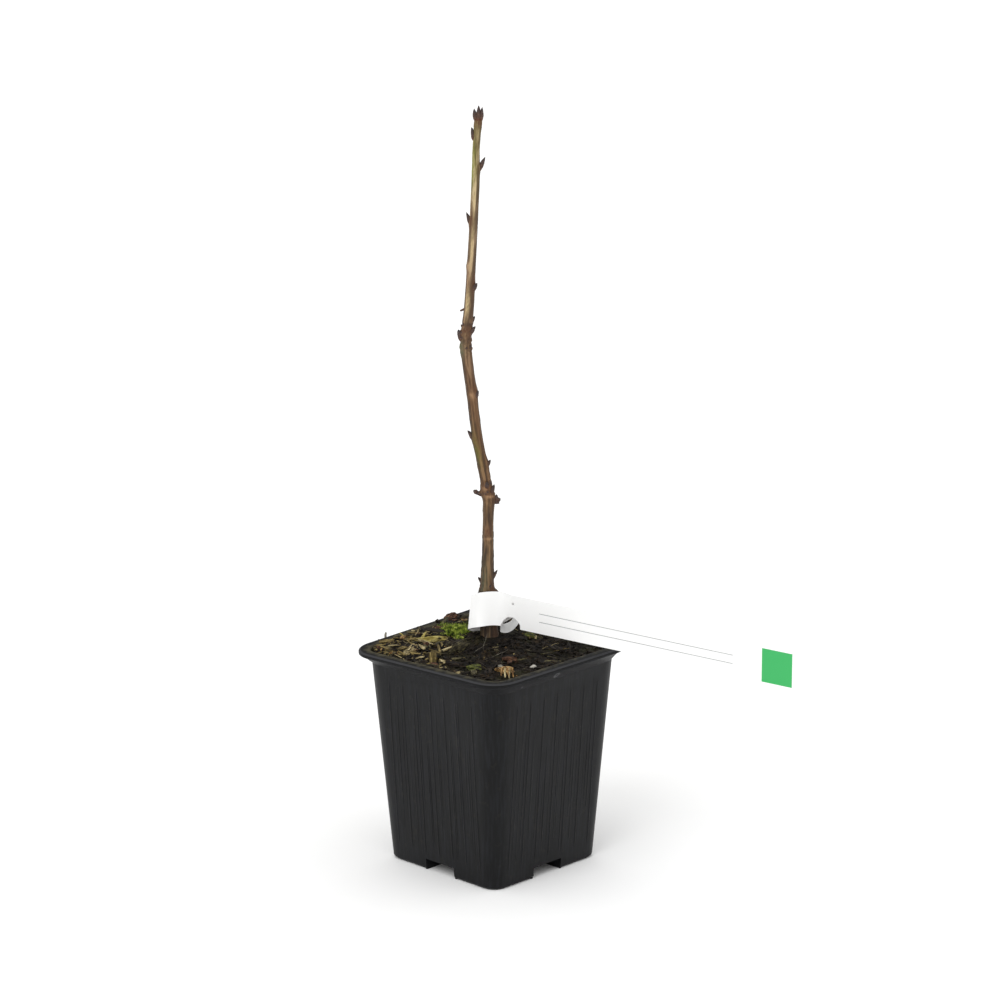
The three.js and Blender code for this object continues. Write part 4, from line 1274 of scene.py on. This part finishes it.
# Relief of the bark: furrows along the stem, flakes on the older wood and wrinkled rings at
# the knuckles
def barkRelief(height, angle):
    age = min(1, max(0, (stem["youngFrom"] - height) / stem["ageSpan"]))
    furrow = barkNoise(height, angle, *stem["furrowRates"])
    furrow += stem["thread"] * barkNoise(height, angle, *stem["threadRates"])
    step = max(0, barkNoise(height, angle, *stem["flakeRates"]) - stem["flakeFrom"]) * 2
    near = sum(math.exp(-((height - middle) / (0.9 * reach)) ** 2) for middle, _, _, reach in knuckles)
    collar = sum(math.exp(-((height - middle) / reach) ** 2) for middle, reach in stem["collars"])
    knob = barkNoise(height, angle, *stem["knobRates"]) * min(collar, 1)
    wrinkle = barkNoise(height, angle, *stem["wrinkleRates"]) * min(near, 1.4)
    relief = stem["furrow"] * (stem["smoothShare"] + (1 - stem["smoothShare"]) * age) * furrow
    relief += stem["flake"] * age * min(step, 1) + stem["knob"] * knob
    return relief + stem["wrinkle"] * wrinkle


ringCentres = {}
stemLow, stemHigh = stem["stations"][0][0], stem["stations"][-1][0]


def placeOnStem(u, v):
    ring = round(v * stem["rings"])
    height = stemLow + (stemHigh - stemLow) * ring / stem["rings"]
    if ring not in ringCentres:
        ringCentres[ring] = stemAt(height)
    centre, radius = ringCentres[ring]
    angle = 360 * u
    reach = radius + swellAt(height, angle) + barkRelief(height, angle)
    return (centre + planVector(angle) * reach) * mm


stemPiece = closeShape(shapedGrid("stem_bark", stem["sides"], stem["rings"], placeOnStem))
smoothShade(stemPiece, 60)
stemGrain = []
for vertex in stemPiece.data.vertices:
    height = vertex.co.z / mm
    ring = min(max(round((height - stemLow) / (stemHigh - stemLow) * stem["rings"]), 0), stem["rings"])
    out = vertex.co / mm - ringCentres[ring][0]
    stemGrain.append(Vector((out.dot(sideways), out.dot(forwards), height)) * mm)
keepGrain(stemPiece, stemGrain)

# Stains and painted light on the bark: kind, height, plan angle, half height, half width in degrees
# and strength. The "shade" marks are painted shade at the stem's left and right edges and in thin
# rings under the collars; the pale streaks toward the front are partly pale bark, partly a painted
# highlight.
stainAndPaintedLightColours = {
    "shade": "#2a2014",
    "green": "#727a1c",
    "paleStreakAndHighlight": "#c8b282",
    "rust": "#5c3a22",
    "lichen": "#6b6f50",
    "scar": "#a5805c",
}
stainEdge = {"ragged": 0.9, "rates": (5, 0.7, 0)}
stains = [
    ("shade", 205, facing["left"] + 14, 40, 34, 0.95),
    ("shade", 214, facing["right"], 30, 26, 0.7),
    ("shade", 138, facing["left"] + 14, 24, 28, 0.9),
    ("shade", 138, facing["right"] - 14, 26, 28, 0.9),
    ("shade", 165, facing["left"], 8, 40, 0.8),
    ("shade", 262, facing["left"], 9, 34, 0.8),
    ("shade", 290, facing["right"] - 12, 46, 26, 0.75),
    ("shade", 285, facing["left"] + 8, 20, 24, 0.7),
    ("shade", 246, facing["front"], 0.9, 90, 0.9),
    ("shade", 232, facing["left"] + 24, 6, 34, 0.85),
    # Pale streaks toward the front: partly pale bark, partly a painted highlight
    ("paleStreakAndHighlight", 300, facing["front"] - 8, 9, 18, 0.7),
    ("paleStreakAndHighlight", 281, facing["front"] - 6, 12, 24, 0.6),
    ("paleStreakAndHighlight", 256, facing["front"] - 24, 6, 26, 0.7),
    ("paleStreakAndHighlight", 330, facing["front"] + 8, 4, 30, 0.35),
    ("green", 317, facing["left"] + 24, 10, 58, 0.8),
    ("green", 191, facing["front"] - 24, 7, 34, 0.4),
    ("rust", 336, facing["front"], 2.5, 120, 0.75),
    ("rust", 316, facing["right"], 4, 60, 0.6),
    ("rust", 292.5, facing["left"] + 45, 4, 40, 0.9),
    ("rust", 264, facing["right"] - 40, 4, 40, 0.9),
    ("rust", 242.5, facing["front"], 4, 110, 0.8),
    ("shade", 240, facing["front"] + 34, 1.4, 30, 0.8),
    ("shade", 238.6, facing["front"] - 30, 1.2, 34, 0.7),
    ("paleStreakAndHighlight", 241.6, facing["front"] - 10, 1.3, 26, 0.5),
    ("shade", 175, facing["front"] + 20, 1, 36, 0.7),
    ("shade", 170.6, facing["front"] - 16, 0.8, 50, 0.7),
    ("rust", 216, facing["right"] - 40, 5, 60, 0.6),
    ("rust", 195, facing["front"], 5, 50, 0.45),
    ("rust", 172, facing["front"], 3.4, 70, 0.85),
    ("rust", 153, facing["front"], 2.6, 34, 0.95),
    ("rust", 127, facing["right"] - 40, 5, 60, 0.5),
    ("lichen", 235, facing["left"] + 20, 4, 50, 0.5),
    ("lichen", 130, facing["front"] - 20, 8, 30, 0.3),
    ("scar", 172.5, facing["front"] - 20, 0.9, 22, 0.8),
    ("scar", 169, facing["front"] + 14, 0.6, 44, 0.75),
    ("scar", 149.8, facing["front"], 0.6, 40, 0.8),
    ("scar", 214.4, facing["front"] + 6, 1.6, 36, 0.6),
]


def stainAndPaintedLightAt(kind, height, angle):
    amount = 0
    for name, middle, around, reach, spread, strength in stains:
        if name == kind:
            apart = ((angle - around + 180) % 360 - 180) / spread
            amount = max(amount, strength * math.exp(-((height - middle) / reach) ** 2 - apart ** 2))
    ragged = stainEdge["ragged"] * barkNoise(height, angle, *stainEdge["rates"])
    return min(1, max(0, amount * (1 + ragged)))


for kind in stainAndPaintedLightColours:
    amounts = stemPiece.data.attributes.new(kind, "FLOAT", "POINT")
    values = []
    for grained in stemGrain:
        out = grained.x * sideways + grained.y * forwards
        values.append(stainAndPaintedLightAt(kind, grained.z / mm, math.degrees(math.atan2(out.y, out.x))))
    amounts.data.foreach_set("value", values)

# Living currant bark: smooth olive shoot at the top, turning to peeling tan and brown older
# wood lower down, in threads 0.5 to 1 mm wide along the stem
livingBark, tree, shader = newMaterial("livingCurrantBark", Roughness=0.62, **{"Specular IOR Level": 0.4})
grain = addNode(tree, "ShaderNodeAttribute", {"attribute_name": "grain"})
parts = addNode(tree, "ShaderNodeSeparateXYZ", inputs={"Vector": grain.outputs["Vector"]})
ageShare = addNode(tree, "ShaderNodeMapRange",
                   inputs={"Value": parts.outputs["Z"], "From Min": 0.1, "From Max": 0.3364})
threadPlace = addNode(tree, "ShaderNodeMapping",
                      inputs={"Vector": grain.outputs["Vector"], "Scale": (1, 1, 0.075)})
threads = addNode(tree, "ShaderNodeTexNoise",
                  inputs={"Vector": threadPlace.outputs[0], "Scale": 900, "Detail": 3, "Roughness": 0.6})
patches = addNode(tree, "ShaderNodeTexNoise",
                  inputs={"Vector": threadPlace.outputs[0], "Scale": 900, "Detail": 4})
blotches = addNode(tree, "ShaderNodeTexNoise",
                   inputs={"Vector": grain.outputs["Vector"], "Scale": 160, "Detail": 4})
shootColour = addNode(tree, "ShaderNodeValToRGB", inputs={"Fac": ageShare.outputs[0]},
                      stops=[(0.0, "#483629"), (0.07, "#4d3e2e"), (0.15, "#58452b"),
                             (0.22, "#60482e"), (0.3, "#62472a"), (0.4, "#68492b"),
                             (0.53, "#5e4229"), (0.62, "#665036"), (0.7, "#6b5039"),
                             (0.83, "#7c6449"), (0.92, "#72623a"), (1.0, "#6e5f37")])
paleColour = addNode(tree, "ShaderNodeValToRGB", inputs={"Fac": ageShare.outputs[0]},
                     stops=[(0.0, "#6a5840"), (0.2, "#8c6d4a"), (0.45, "#7b5d3f"),
                            (0.7, "#a08263"), (0.85, "#ccb592"), (1.0, "#988a5a")])
darkColour = addNode(tree, "ShaderNodeValToRGB", inputs={"Fac": ageShare.outputs[0]},
                     stops=[(0.0, "#1a120b"), (0.3, "#2a190e"), (0.6, "#362213"), (1.0, "#43331d")])
paleShare = addNode(tree, "ShaderNodeMapRange",
                    inputs={"Value": threads.outputs["Fac"], "From Min": 0.51, "From Max": 0.59})
darkShare = addNode(tree, "ShaderNodeMapRange",
                    inputs={"Value": patches.outputs["Fac"], "From Min": 0.49, "From Max": 0.42,
                            "To Max": 0.65})
withPale = addNode(tree, "ShaderNodeMix", {"data_type": "RGBA"},
                   {0: paleShare.outputs[0], 6: shootColour.outputs["Color"],
                    7: paleColour.outputs["Color"]})
withDark = addNode(tree, "ShaderNodeMix", {"data_type": "RGBA"},
                   {0: darkShare.outputs[0], 6: withPale.outputs[2], 7: darkColour.outputs["Color"]})
# Painted shade: a darker reddish brown towards the stem's right side, away from the lamp
rightSidePaintedShade = addNode(tree, "ShaderNodeMapRange",
                   inputs={"Value": parts.outputs["X"], "From Min": 0.0006, "From Max": 0.0024,
                           "To Max": 0.45})
barkColour = addNode(tree, "ShaderNodeMix", {"data_type": "RGBA"},
                     {0: rightSidePaintedShade.outputs[0], 6: withDark.outputs[2], 7: hexColour("#55361f")})
# Mixes in the real stains, the painted shade at the edges and under the collars, and the pale streaks,
# which are partly a painted highlight
for kind, code in stainAndPaintedLightColours.items():
    amount = addNode(tree, "ShaderNodeAttribute", {"attribute_name": kind})
    barkColour = addNode(tree, "ShaderNodeMix", {"data_type": "RGBA"},
                         {0: amount.outputs["Fac"], 6: barkColour.outputs[2], 7: hexColour(code)})
threadBump = addNode(tree, "ShaderNodeBump",
                     inputs={"Height": threads.outputs["Fac"], "Strength": 0.8, "Distance": 0.0004})
blotchBump = addNode(tree, "ShaderNodeBump",
                     inputs={"Height": blotches.outputs["Fac"], "Strength": 0.3, "Distance": 0.0005,
                             "Normal": threadBump.outputs[0]})
tree.links.new(barkColour.outputs[2], shader.inputs["Base Color"])
tree.links.new(blotchBump.outputs[0], shader.inputs["Normal"])
finishPiece(stemPiece, livingBark, ["stem"])
print("stem done")


# Buds and spurs

# The pattern bud is 1 wide and 1 long, in overlapping pointed scales, each as its plan angle and
# how far along the bud it starts and ends
budPattern = {
    "outline": [(0.3, 0), (0.42, 0.12), (0.5, 0.3), (0.43, 0.58), (0.22, 0.86), (0.0, 1)],
    "sides": 22,
    "rings": 18,
    "scales": [
        (40, -0.1, 0.5),
        (190, -0.05, 0.58),
        (310, 0.05, 0.68),
        (110, 0.15, 0.8),
        (250, 0.3, 0.9),
    ],
    "scaleReach": 78,
    "scalePoint": 0.55,
    "scaleThickness": 0.05,
    "scaleBow": 0.35,
    "scaleFade": 4,
    "bow": 0.06,
    "grainSize": 0.004,
}
budOutline = [Vector((out, along, 0)) for out, along in budPattern["outline"]]


def scaleRelief(angle, along):
    relief = 0
    for around, low, high in budPattern["scales"]:
        share = (along - low) / (high - low)
        apart = abs((angle - around + 180) % 360 - 180) / budPattern["scaleReach"]
        if 0 <= share < 1 and apart < (1 - share) ** budPattern["scalePoint"]:
            relief += budPattern["scaleThickness"] * (1 - budPattern["scaleBow"] * apart)
    return relief


def placeOnBud(u, v):
    point = pointAlong(budOutline, v)
    angle = 360 * u
    reach = max(point.x, 0)
    reach += scaleRelief(angle, point.y) * min(1, reach * budPattern["scaleFade"])
    shift = budPattern["bow"] * point.y * (1 - point.y)
    return planVector(angle) * reach + Vector((shift, 0, point.y))


budShape = closeShape(shapedGrid("bud_shape", budPattern["sides"], budPattern["rings"], placeOnBud))
keepGrain(budShape, [vertex.co * budPattern["grainSize"] for vertex in budShape.data.vertices])

# Bud scales: dry, papery, grey brown to purple brown, darker at their tips and edges
budScales, tree, shader = newMaterial("paperyBudScales", Roughness=0.6, **{"Specular IOR Level": 0.45})
grain = addNode(tree, "ShaderNodeAttribute", {"attribute_name": "grain"})
coordinates = addNode(tree, "ShaderNodeTexCoord")
parts = addNode(tree, "ShaderNodeSeparateXYZ", inputs={"Vector": grain.outputs["Vector"]})
tipShare = addNode(tree, "ShaderNodeMapRange",
                   inputs={"Value": parts.outputs["Z"], "From Max": budPattern["grainSize"]})
tipColour = addNode(tree, "ShaderNodeValToRGB", inputs={"Fac": tipShare.outputs[0]},
                    stops=[(0.0, "#64391f"), (0.3, "#4c3225"), (0.7, "#3a2b28"), (1.0, "#241b1b")])
flecks = addNode(tree, "ShaderNodeTexNoise",
                 inputs={"Vector": coordinates.outputs["Object"], "Scale": 1500, "Detail": 3})
fleckShare = addNode(tree, "ShaderNodeMapRange",
                     inputs={"Value": flecks.outputs["Fac"], "From Min": 0.55, "From Max": 0.7,
                             "To Max": 0.6})
fleckMix = addNode(tree, "ShaderNodeMix", {"data_type": "RGBA"},
                   {0: fleckShare.outputs[0], 6: tipColour.outputs["Color"], 7: hexColour("#80634b")})
fleckBump = addNode(tree, "ShaderNodeBump",
                    inputs={"Height": flecks.outputs["Fac"], "Strength": 0.5, "Distance": 0.0002})
tree.links.new(fleckMix.outputs[2], shader.inputs["Base Color"])
tree.links.new(fleckBump.outputs[0], shader.inputs["Normal"])

# Single buds, each with the height of its foot, its plan angle and its lean in degrees
buds = [
    {"name": "bud_330_left", "height": 327.4, "around": facing["left"],
     "length": 6.2, "width": 2, "lean": 12},
    {"name": "bud_317_right", "height": 313.8, "around": facing["right"],
     "length": 7.3, "width": 1.9, "lean": 25},
    {"name": "bud_306_back", "height": 303.4, "around": facing["back"],
     "length": 5.6, "width": 1.8, "lean": 16},
    {"name": "bud_293_left", "height": 290.2, "around": facing["left"],
     "length": 6.2, "width": 1.8, "lean": 20},
    {"name": "bud_263_front", "height": 261, "around": facing["right"] - 34,
     "length": 4.8, "width": 2, "lean": 34},
    {"name": "bud_247_right", "height": 246.4, "around": facing["right"],
     "length": 3.9, "width": 1.8, "lean": 33},
    {"name": "bud_242_right", "height": 241.6, "around": facing["right"] - 24,
     "length": 5, "width": 2, "lean": 38},
    {"name": "bud_240_left", "height": 238.2, "around": facing["left"],
     "length": 5.9, "width": 2.8, "lean": 22},
    {"name": "bud_214_right", "height": 213, "around": facing["right"] - 30,
     "length": 4.2, "width": 1.9, "lean": 26},
    {"name": "bud_206_back", "height": 202.4, "around": facing["back"],
     "length": 5.6, "width": 2, "lean": 20},
    {"name": "bud_195_left", "height": 193.9, "around": facing["left"],
     "length": 5.6, "width": 2, "lean": 35},
    {"name": "bud_183_right", "height": 182, "around": facing["right"],
     "length": 3.8, "width": 1.8, "lean": 32},
    {"name": "bud_175_front", "height": 172.6, "around": facing["front"],
     "length": 4.2, "width": 1.9, "lean": 32},
    {"name": "bud_171_right", "height": 169.4, "around": facing["right"] - 26,
     "length": 5.5, "width": 2, "lean": 21},
    {"name": "bud_132_right", "height": 129.8, "around": facing["right"],
     "length": 5.9, "width": 1.6, "lean": 31},
]


# The turn that leans a shape out at a plan angle
def leanOut(lean, around):
    return Matrix.Rotation(math.radians(around), 4, "Z") @ Matrix.Rotation(math.radians(lean), 4, "Y")


def rootPoint(height, around):
    centre, radius = stemAt(height)
    return centre + planVector(around) * radius * stem["rootShare"]


# A copy of the pattern bud, its own width and length, on its foot at the origin
def sizedBud(name, length, width, spin=0):
    size = Matrix.Diagonal((width, width, length, 1))
    return copyMesh(budShape, name, size @ Matrix.Rotation(math.radians(spin), 4, "Z"))


for index, bud in enumerate(buds):
    piece = sizedBud(bud["name"] + "_scaled", bud["length"], bud["width"], 67 * index)
    foot = Matrix.Translation(rootPoint(bud["height"], bud["around"]))
    piece.data.transform(Matrix.Scale(mm, 4) @ foot @ leanOut(bud["lean"], bud["around"]))
    smoothShade(piece, 50)
    finishPiece(piece, budScales, [bud["name"]])

# Dry scales left at the collars, each collar as height and how many. They lie round the front.
remnants = {
    "seed": 21,
    "collars": [(245, 3), (240.6, 4), (236, 2), (174.6, 2), (170, 4), (126, 3)],
    "spread": 80,
    "stray": 1.2,
    "length": (1.1, 1.9),
    "width": (0.8, 1.3),
    "lean": (6, 34),
    "rootShare": 0.8,
}
dice = random.Random(remnants["seed"])
scalePieces = []
for height, count in remnants["collars"]:
    for _ in range(count):
        around = facing["front"] + dice.uniform(-remnants["spread"], remnants["spread"])
        level = height + dice.uniform(-remnants["stray"], remnants["stray"])
        length, width = dice.uniform(*remnants["length"]), dice.uniform(*remnants["width"])
        piece = sizedBud(f"scale_{len(scalePieces)}", length, width)
        centre, radius = stemAt(level)
        reach = (radius + swellAt(level, around)) * remnants["rootShare"]
        foot = Matrix.Translation(centre + planVector(around) * reach)
        piece.data.transform(Matrix.Scale(mm, 4) @ foot @ leanOut(dice.uniform(*remnants["lean"]), around))
        scalePieces.append(piece)
scales = joinPieces(scalePieces)
scales.name = scales.data.name = "old_bud_scales"
smoothShade(scales, 50)
finishPiece(scales, budScales)

# Spurs: short woody stubs ringed with old scale scars, with the buds that sit on them, each as
# share of the stub's length, turn, length and width
spurs = [
    {"name": "spur_253_left", "height": 253.2, "around": facing["left"],
     "length": 3, "width": 1.1, "lean": 116, "tips": []},
    {"name": "spur_169_left", "height": 169, "around": facing["left"],
     "length": 4.8, "width": 2.2, "lean": 70, "tips": [(0.78, -16, 1.9, 1.9)]},
    {"name": "spur_166_right", "height": 165.6, "around": facing["right"],
     "length": 3.3, "width": 2.6, "lean": 66,
     "tips": [(0.66, -58, 3.1, 2), (0.86, -6, 1.8, 2), (0.58, 54, 2.2, 1.8)]},
    {"name": "spur_129_left", "height": 127, "around": facing["left"],
     "length": 4.8, "width": 1.3, "lean": 26, "tips": []},
]
stubShape = {
    "sides": 18,
    "rings": 26,
    "below": 1.5,
    "scarDepth": 0.05,
    "scarPitch": 9,
    "knobs": 0.12,
    "roundFrom": 0.8,
    "narrowing": 0.1,
    "endShare": 0.25,
    "grainSize": 0.0008,
}


# A stub standing on +Z from below the origin, ringed with scars and rounded at its end
def makeStub(name, length, width, low, seed):
    def placeOnStub(u, v):
        angle = 360 * u
        height = low + (length - low) * v
        rings = stubShape["scarDepth"] * math.sin(height * stubShape["scarPitch"] + seed)
        rings += stubShape["knobs"] * noise.noise(planVector(angle) * 1.3 + up * height)
        past = max(0, (v - stubShape["roundFrom"]) / (1 - stubShape["roundFrom"]))
        end = math.sqrt(max(0, 1 - past ** 2))
        reach = width * (0.5 - stubShape["narrowing"] * v) * (1 + rings)
        reach *= stubShape["endShare"] + (1 - stubShape["endShare"]) * end
        return planVector(angle) * reach + up * height

    stub = closeShape(shapedGrid(name, stubShape["sides"], stubShape["rings"], placeOnStub))
    keepGrain(stub, [vertex.co * stubShape["grainSize"] for vertex in stub.data.vertices])
    return stub


for index, spur in enumerate(spurs):
    stub = makeStub(spur["name"] + "_stub", spur["length"], spur["width"], -stubShape["below"], index)
    tips = []
    for place, (along, turn, length, width) in enumerate(spur["tips"]):
        piece = sizedBud(f"{spur['name']}_tip_{place}", length, width, 90 * place)
        lift = Matrix.Translation((0, 0, spur["length"] * along))
        piece.data.transform(lift @ Matrix.Rotation(math.radians(turn), 4, "Y"))
        tips.append(piece)
    joinPieces([stub, *tips])
    foot = Matrix.Translation(rootPoint(spur["height"], spur["around"]))
    stub.data.transform(Matrix.Scale(mm, 4) @ foot @ leanOut(spur["lean"], spur["around"]))
    smoothShade(stub, 50)
    finishPiece(stub, budScales, [spur["name"]])

# The buds at the tip, round a short stub
tip = {
    "stubRadius": 1.4,
    "stubHeight": 1.6,
    "stubBelow": 1.2,
    "sink": 0.4,
    "buds": [
        {"around": facing["right"], "shift": 0.1, "length": 6.9, "width": 2.1, "lean": 1},
        {"around": facing["left"], "shift": 1.1, "length": 5.6, "width": 1.8, "lean": 7},
        {"around": facing["right"], "shift": 1.1, "length": 6.2, "width": 1.8, "lean": 6},
    ],
}
stubWidth = 2 * tip["stubRadius"]
tipPieces = [makeStub("bud_tip_cluster_scaled", tip["stubHeight"], stubWidth, -tip["stubBelow"], 2)]
for index, bud in enumerate(tip["buds"]):
    piece = sizedBud(f"tip_bud_{index}", bud["length"], bud["width"], 80 * index)
    foot = Matrix.Translation(planVector(bud["around"]) * bud["shift"] - up * tip["sink"])
    piece.data.transform(foot @ leanOut(bud["lean"], bud["around"]))
    tipPieces.append(piece)
tipCluster = joinPieces(tipPieces)
tipCluster.data.transform(Matrix.Scale(mm, 4) @ Matrix.Translation(stemLine[-1]))
smoothShade(tipCluster, 50)
finishPiece(tipCluster, budScales, ["bud_tip_cluster"])
bpy.data.objects.remove(budShape)
print("buds done")


# Label

# A strip that passes before the stem and loops round it
label = {
    "width": 15,
    "thickness": 0.5,
    "tailLength": 166.6,
    "tailTurn": 25,
    "tailDrop": 0.0718,
    "frontSide": -3,
    "frontForward": 4.7,
    "frontHeight": 119.2,
    "notchFrom": 7.2,
    "notchTo": 16.9,
    "notchRise": 4.4,
    "holeAt": 13.2,
    "holeLift": 3.6,
    "holeRadius": 0.6,
    "holeSides": 18,
    "cutDepth": 4,
    "spansAlong": 180,
    "spansAcross": 6,
}
tailAngle = facing["right"] - label["tailTurn"]


# The middle of the label's tail, at a reach from where it passes the stem
def onTail(reach):
    foot = sideways * label["frontSide"] + forwards * label["frontForward"]
    foot.z = label["frontHeight"] - label["tailDrop"] * reach
    return foot + planVector(tailAngle) * reach


def inPlan(side, forward, height):
    return sideways * side + forwards * forward + up * height


def towards(lean, side):
    return (up + forwards * lean + sideways * side).normalized()


upright, leaning, tilted = towards(0, 0), towards(-0.2, 0.05), towards(-0.36, 0.1)
labelStations = [(onTail(reach), upright, label["width"])
                 for reach in (label["tailLength"], 125, 85, 45, 24, 17, 12)]
labelStations += [
    (onTail(6), leaning, label["width"]),
    (inPlan(-2.8, 6.4, 118.4), leaning, label["width"]),
    (inPlan(-7.4, 4.6, 117), tilted, label["width"]),
    (inPlan(-10.1, 0.2, 114.8), tilted, label["width"]),
    (inPlan(-8.6, -4.8, 112.4), tilted, label["width"]),
    (inPlan(-4, -7.7, 111.6), tilted, 14),
    (inPlan(2.6, -7.7, 113), leaning, 11.5),
    (inPlan(8.2, -4.8, 115), upright, 8.4),
    (inPlan(10.9, -0.4, 114), upright, 7),
    (inPlan(9.2, 3, 110.4), towards(0.1, 0), 4.2),
    (inPlan(6, 4.3, 108.8), towards(0.2, 0), 4.5),
    (inPlan(3.4, 4.2, 108.9), towards(0.2, 0), 4),
]
labelLine = [station[0] for station in labelStations]


def placeOnLabel(u, v):
    place = min(u, 0.999999) * (len(labelStations) - 1)
    low = int(place)
    rest = place - low
    centre = pointAlong(labelLine, u)
    ahead = pointAlong(labelLine, min(u + 1e-4, 1)) - pointAlong(labelLine, max(u - 1e-4, 0))
    ahead.normalize()
    across = labelStations[low][1].lerp(labelStations[low + 1][1], rest)
    across = (across - ahead * across.dot(ahead)).normalized()
    width = labelStations[low][2] * (1 - rest) + labelStations[low + 1][2] * rest
    return (centre + across * (v - 0.5) * width) * mm


labelPiece = shapedGrid("loop_label_strip", label["spansAlong"], label["spansAcross"], placeOnLabel)
applyModifier(labelPiece, "sheet", "SOLIDIFY", thickness=label["thickness"] * mm, offset=0)


# A cutter that stands across the strip: an outline drawn in the tail's plane, from the
# middle line at a reach, pushed out both ways
def makeCutter(name, outline, reach):
    mesh = bpy.data.meshes.new(name)
    count = len(outline)
    sides = [Vector((x, label["cutDepth"] * push, z)) for push in (-0.5, 0.5) for x, z in outline]
    faces = [[i, (i + 1) % count, count + (i + 1) % count, count + i] for i in range(count)]
    faces += [list(range(count))[::-1], list(range(count, 2 * count))]
    mesh.from_pydata(sides, [], faces)
    cutter = bpy.data.objects.new(name, mesh)
    bpy.context.scene.collection.objects.link(cutter)
    turn = Matrix.Rotation(math.radians(tailAngle), 4, "Z")
    mesh.transform(Matrix.Scale(mm, 4) @ Matrix.Translation(onTail(reach)) @ turn)
    return closeShape(cutter)


notchWide = label["notchTo"] - label["notchFrom"]
arch = [(0, -1.2), (0.04, 0.1), (0.16, 0.6), (0.36, 1), (0.66, 1), (0.86, 0.7), (0.98, 0.3), (1, -1.2)]
archOutline = [(x * notchWide, z * label["notchRise"] - label["width"] / 2) for x, z in arch]
notch = makeCutter("notch_cutter", archOutline, label["notchFrom"])
circle = [planVector(360 / label["holeSides"] * i) * label["holeRadius"] for i in range(label["holeSides"])]
circleOutline = [(point.x, point.y + label["holeLift"]) for point in circle]
hole = makeCutter("hole_cutter", circleOutline, label["holeAt"])
for cutter in (notch, hole):
    applyModifier(labelPiece, "cut", "BOOLEAN", operation="DIFFERENCE", solver="EXACT", object=cutter)
    bpy.data.objects.remove(cutter)
smoothShade(labelPiece, 35)

# Printed polypropylene strip: white, satin, with two grey ruled lines 0.35 mm wide and a plain
# green band
printing = {
    "rules": (1.6, -2.2),
    "rulesFrom": 26,
    "rulesTo": 118,
    "ruleWidth": 0.35,
    "bandFrom": 131.5,
    "bandTo": 145.5,
}
strip, tree, shader = newMaterial("printedWhitePolypropylene", Roughness=0.38, IOR=1.49)
coordinates = addNode(tree, "ShaderNodeTexCoord")
tailStart = onTail(0) * mm
tailPlace = addNode(tree, "ShaderNodeMapping", {"vector_type": "TEXTURE"},
                    {"Vector": coordinates.outputs["Object"], "Location": tailStart,
                     "Rotation": (0, 0, math.radians(tailAngle))})
parts = addNode(tree, "ShaderNodeSeparateXYZ", inputs={"Vector": tailPlace.outputs[0]})
drop = addNode(tree, "ShaderNodeMath", {"operation": "MULTIPLY_ADD"},
               {0: parts.outputs["X"], 1: label["tailDrop"], 2: parts.outputs["Z"]})


# 1 where a value is between two limits, with crisp edges, else 0
def inside(value, low, high):
    above = addNode(tree, "ShaderNodeMath", {"operation": "GREATER_THAN"}, {0: value, 1: low * mm})
    below = addNode(tree, "ShaderNodeMath", {"operation": "LESS_THAN"}, {0: value, 1: high * mm})
    both = addNode(tree, "ShaderNodeMath", {"operation": "MULTIPLY"},
                   {0: above.outputs[0], 1: below.outputs[0]})
    return both.outputs[0]


reachSocket = parts.outputs["X"]
ruled = None
for rule in printing["rules"]:
    line = inside(drop.outputs[0], rule - printing["ruleWidth"] / 2, rule + printing["ruleWidth"] / 2)
    ruled = line if ruled is None else addNode(tree, "ShaderNodeMath", {"operation": "MAXIMUM"},
                                               {0: ruled, 1: line}).outputs[0]
ruleMask = addNode(tree, "ShaderNodeMath", {"operation": "MULTIPLY"},
                   {0: ruled, 1: inside(reachSocket, printing["rulesFrom"], printing["rulesTo"])})
whiteInk = addNode(tree, "ShaderNodeMix", {"data_type": "RGBA"},
                   {0: ruleMask.outputs[0], 6: hexColour("#fafaf9"), 7: hexColour("#a9aaac")})
withBand = addNode(tree, "ShaderNodeMix", {"data_type": "RGBA"},
                   {0: inside(reachSocket, printing["bandFrom"], printing["bandTo"]),
                    6: whiteInk.outputs[2], 7: hexColour("#35b25f")})
sheen = addNode(tree, "ShaderNodeTexNoise",
                inputs={"Vector": coordinates.outputs["Object"], "Scale": 220, "Detail": 2})
sheenBump = addNode(tree, "ShaderNodeBump",
                    inputs={"Height": sheen.outputs["Fac"], "Strength": 0.12, "Distance": 0.0002})
tree.links.new(withBand.outputs[2], shader.inputs["Base Color"])
tree.links.new(sheenBump.outputs[0], shader.inputs["Normal"])
finishPiece(labelPiece, strip, ["loop_label"])
print("label done")
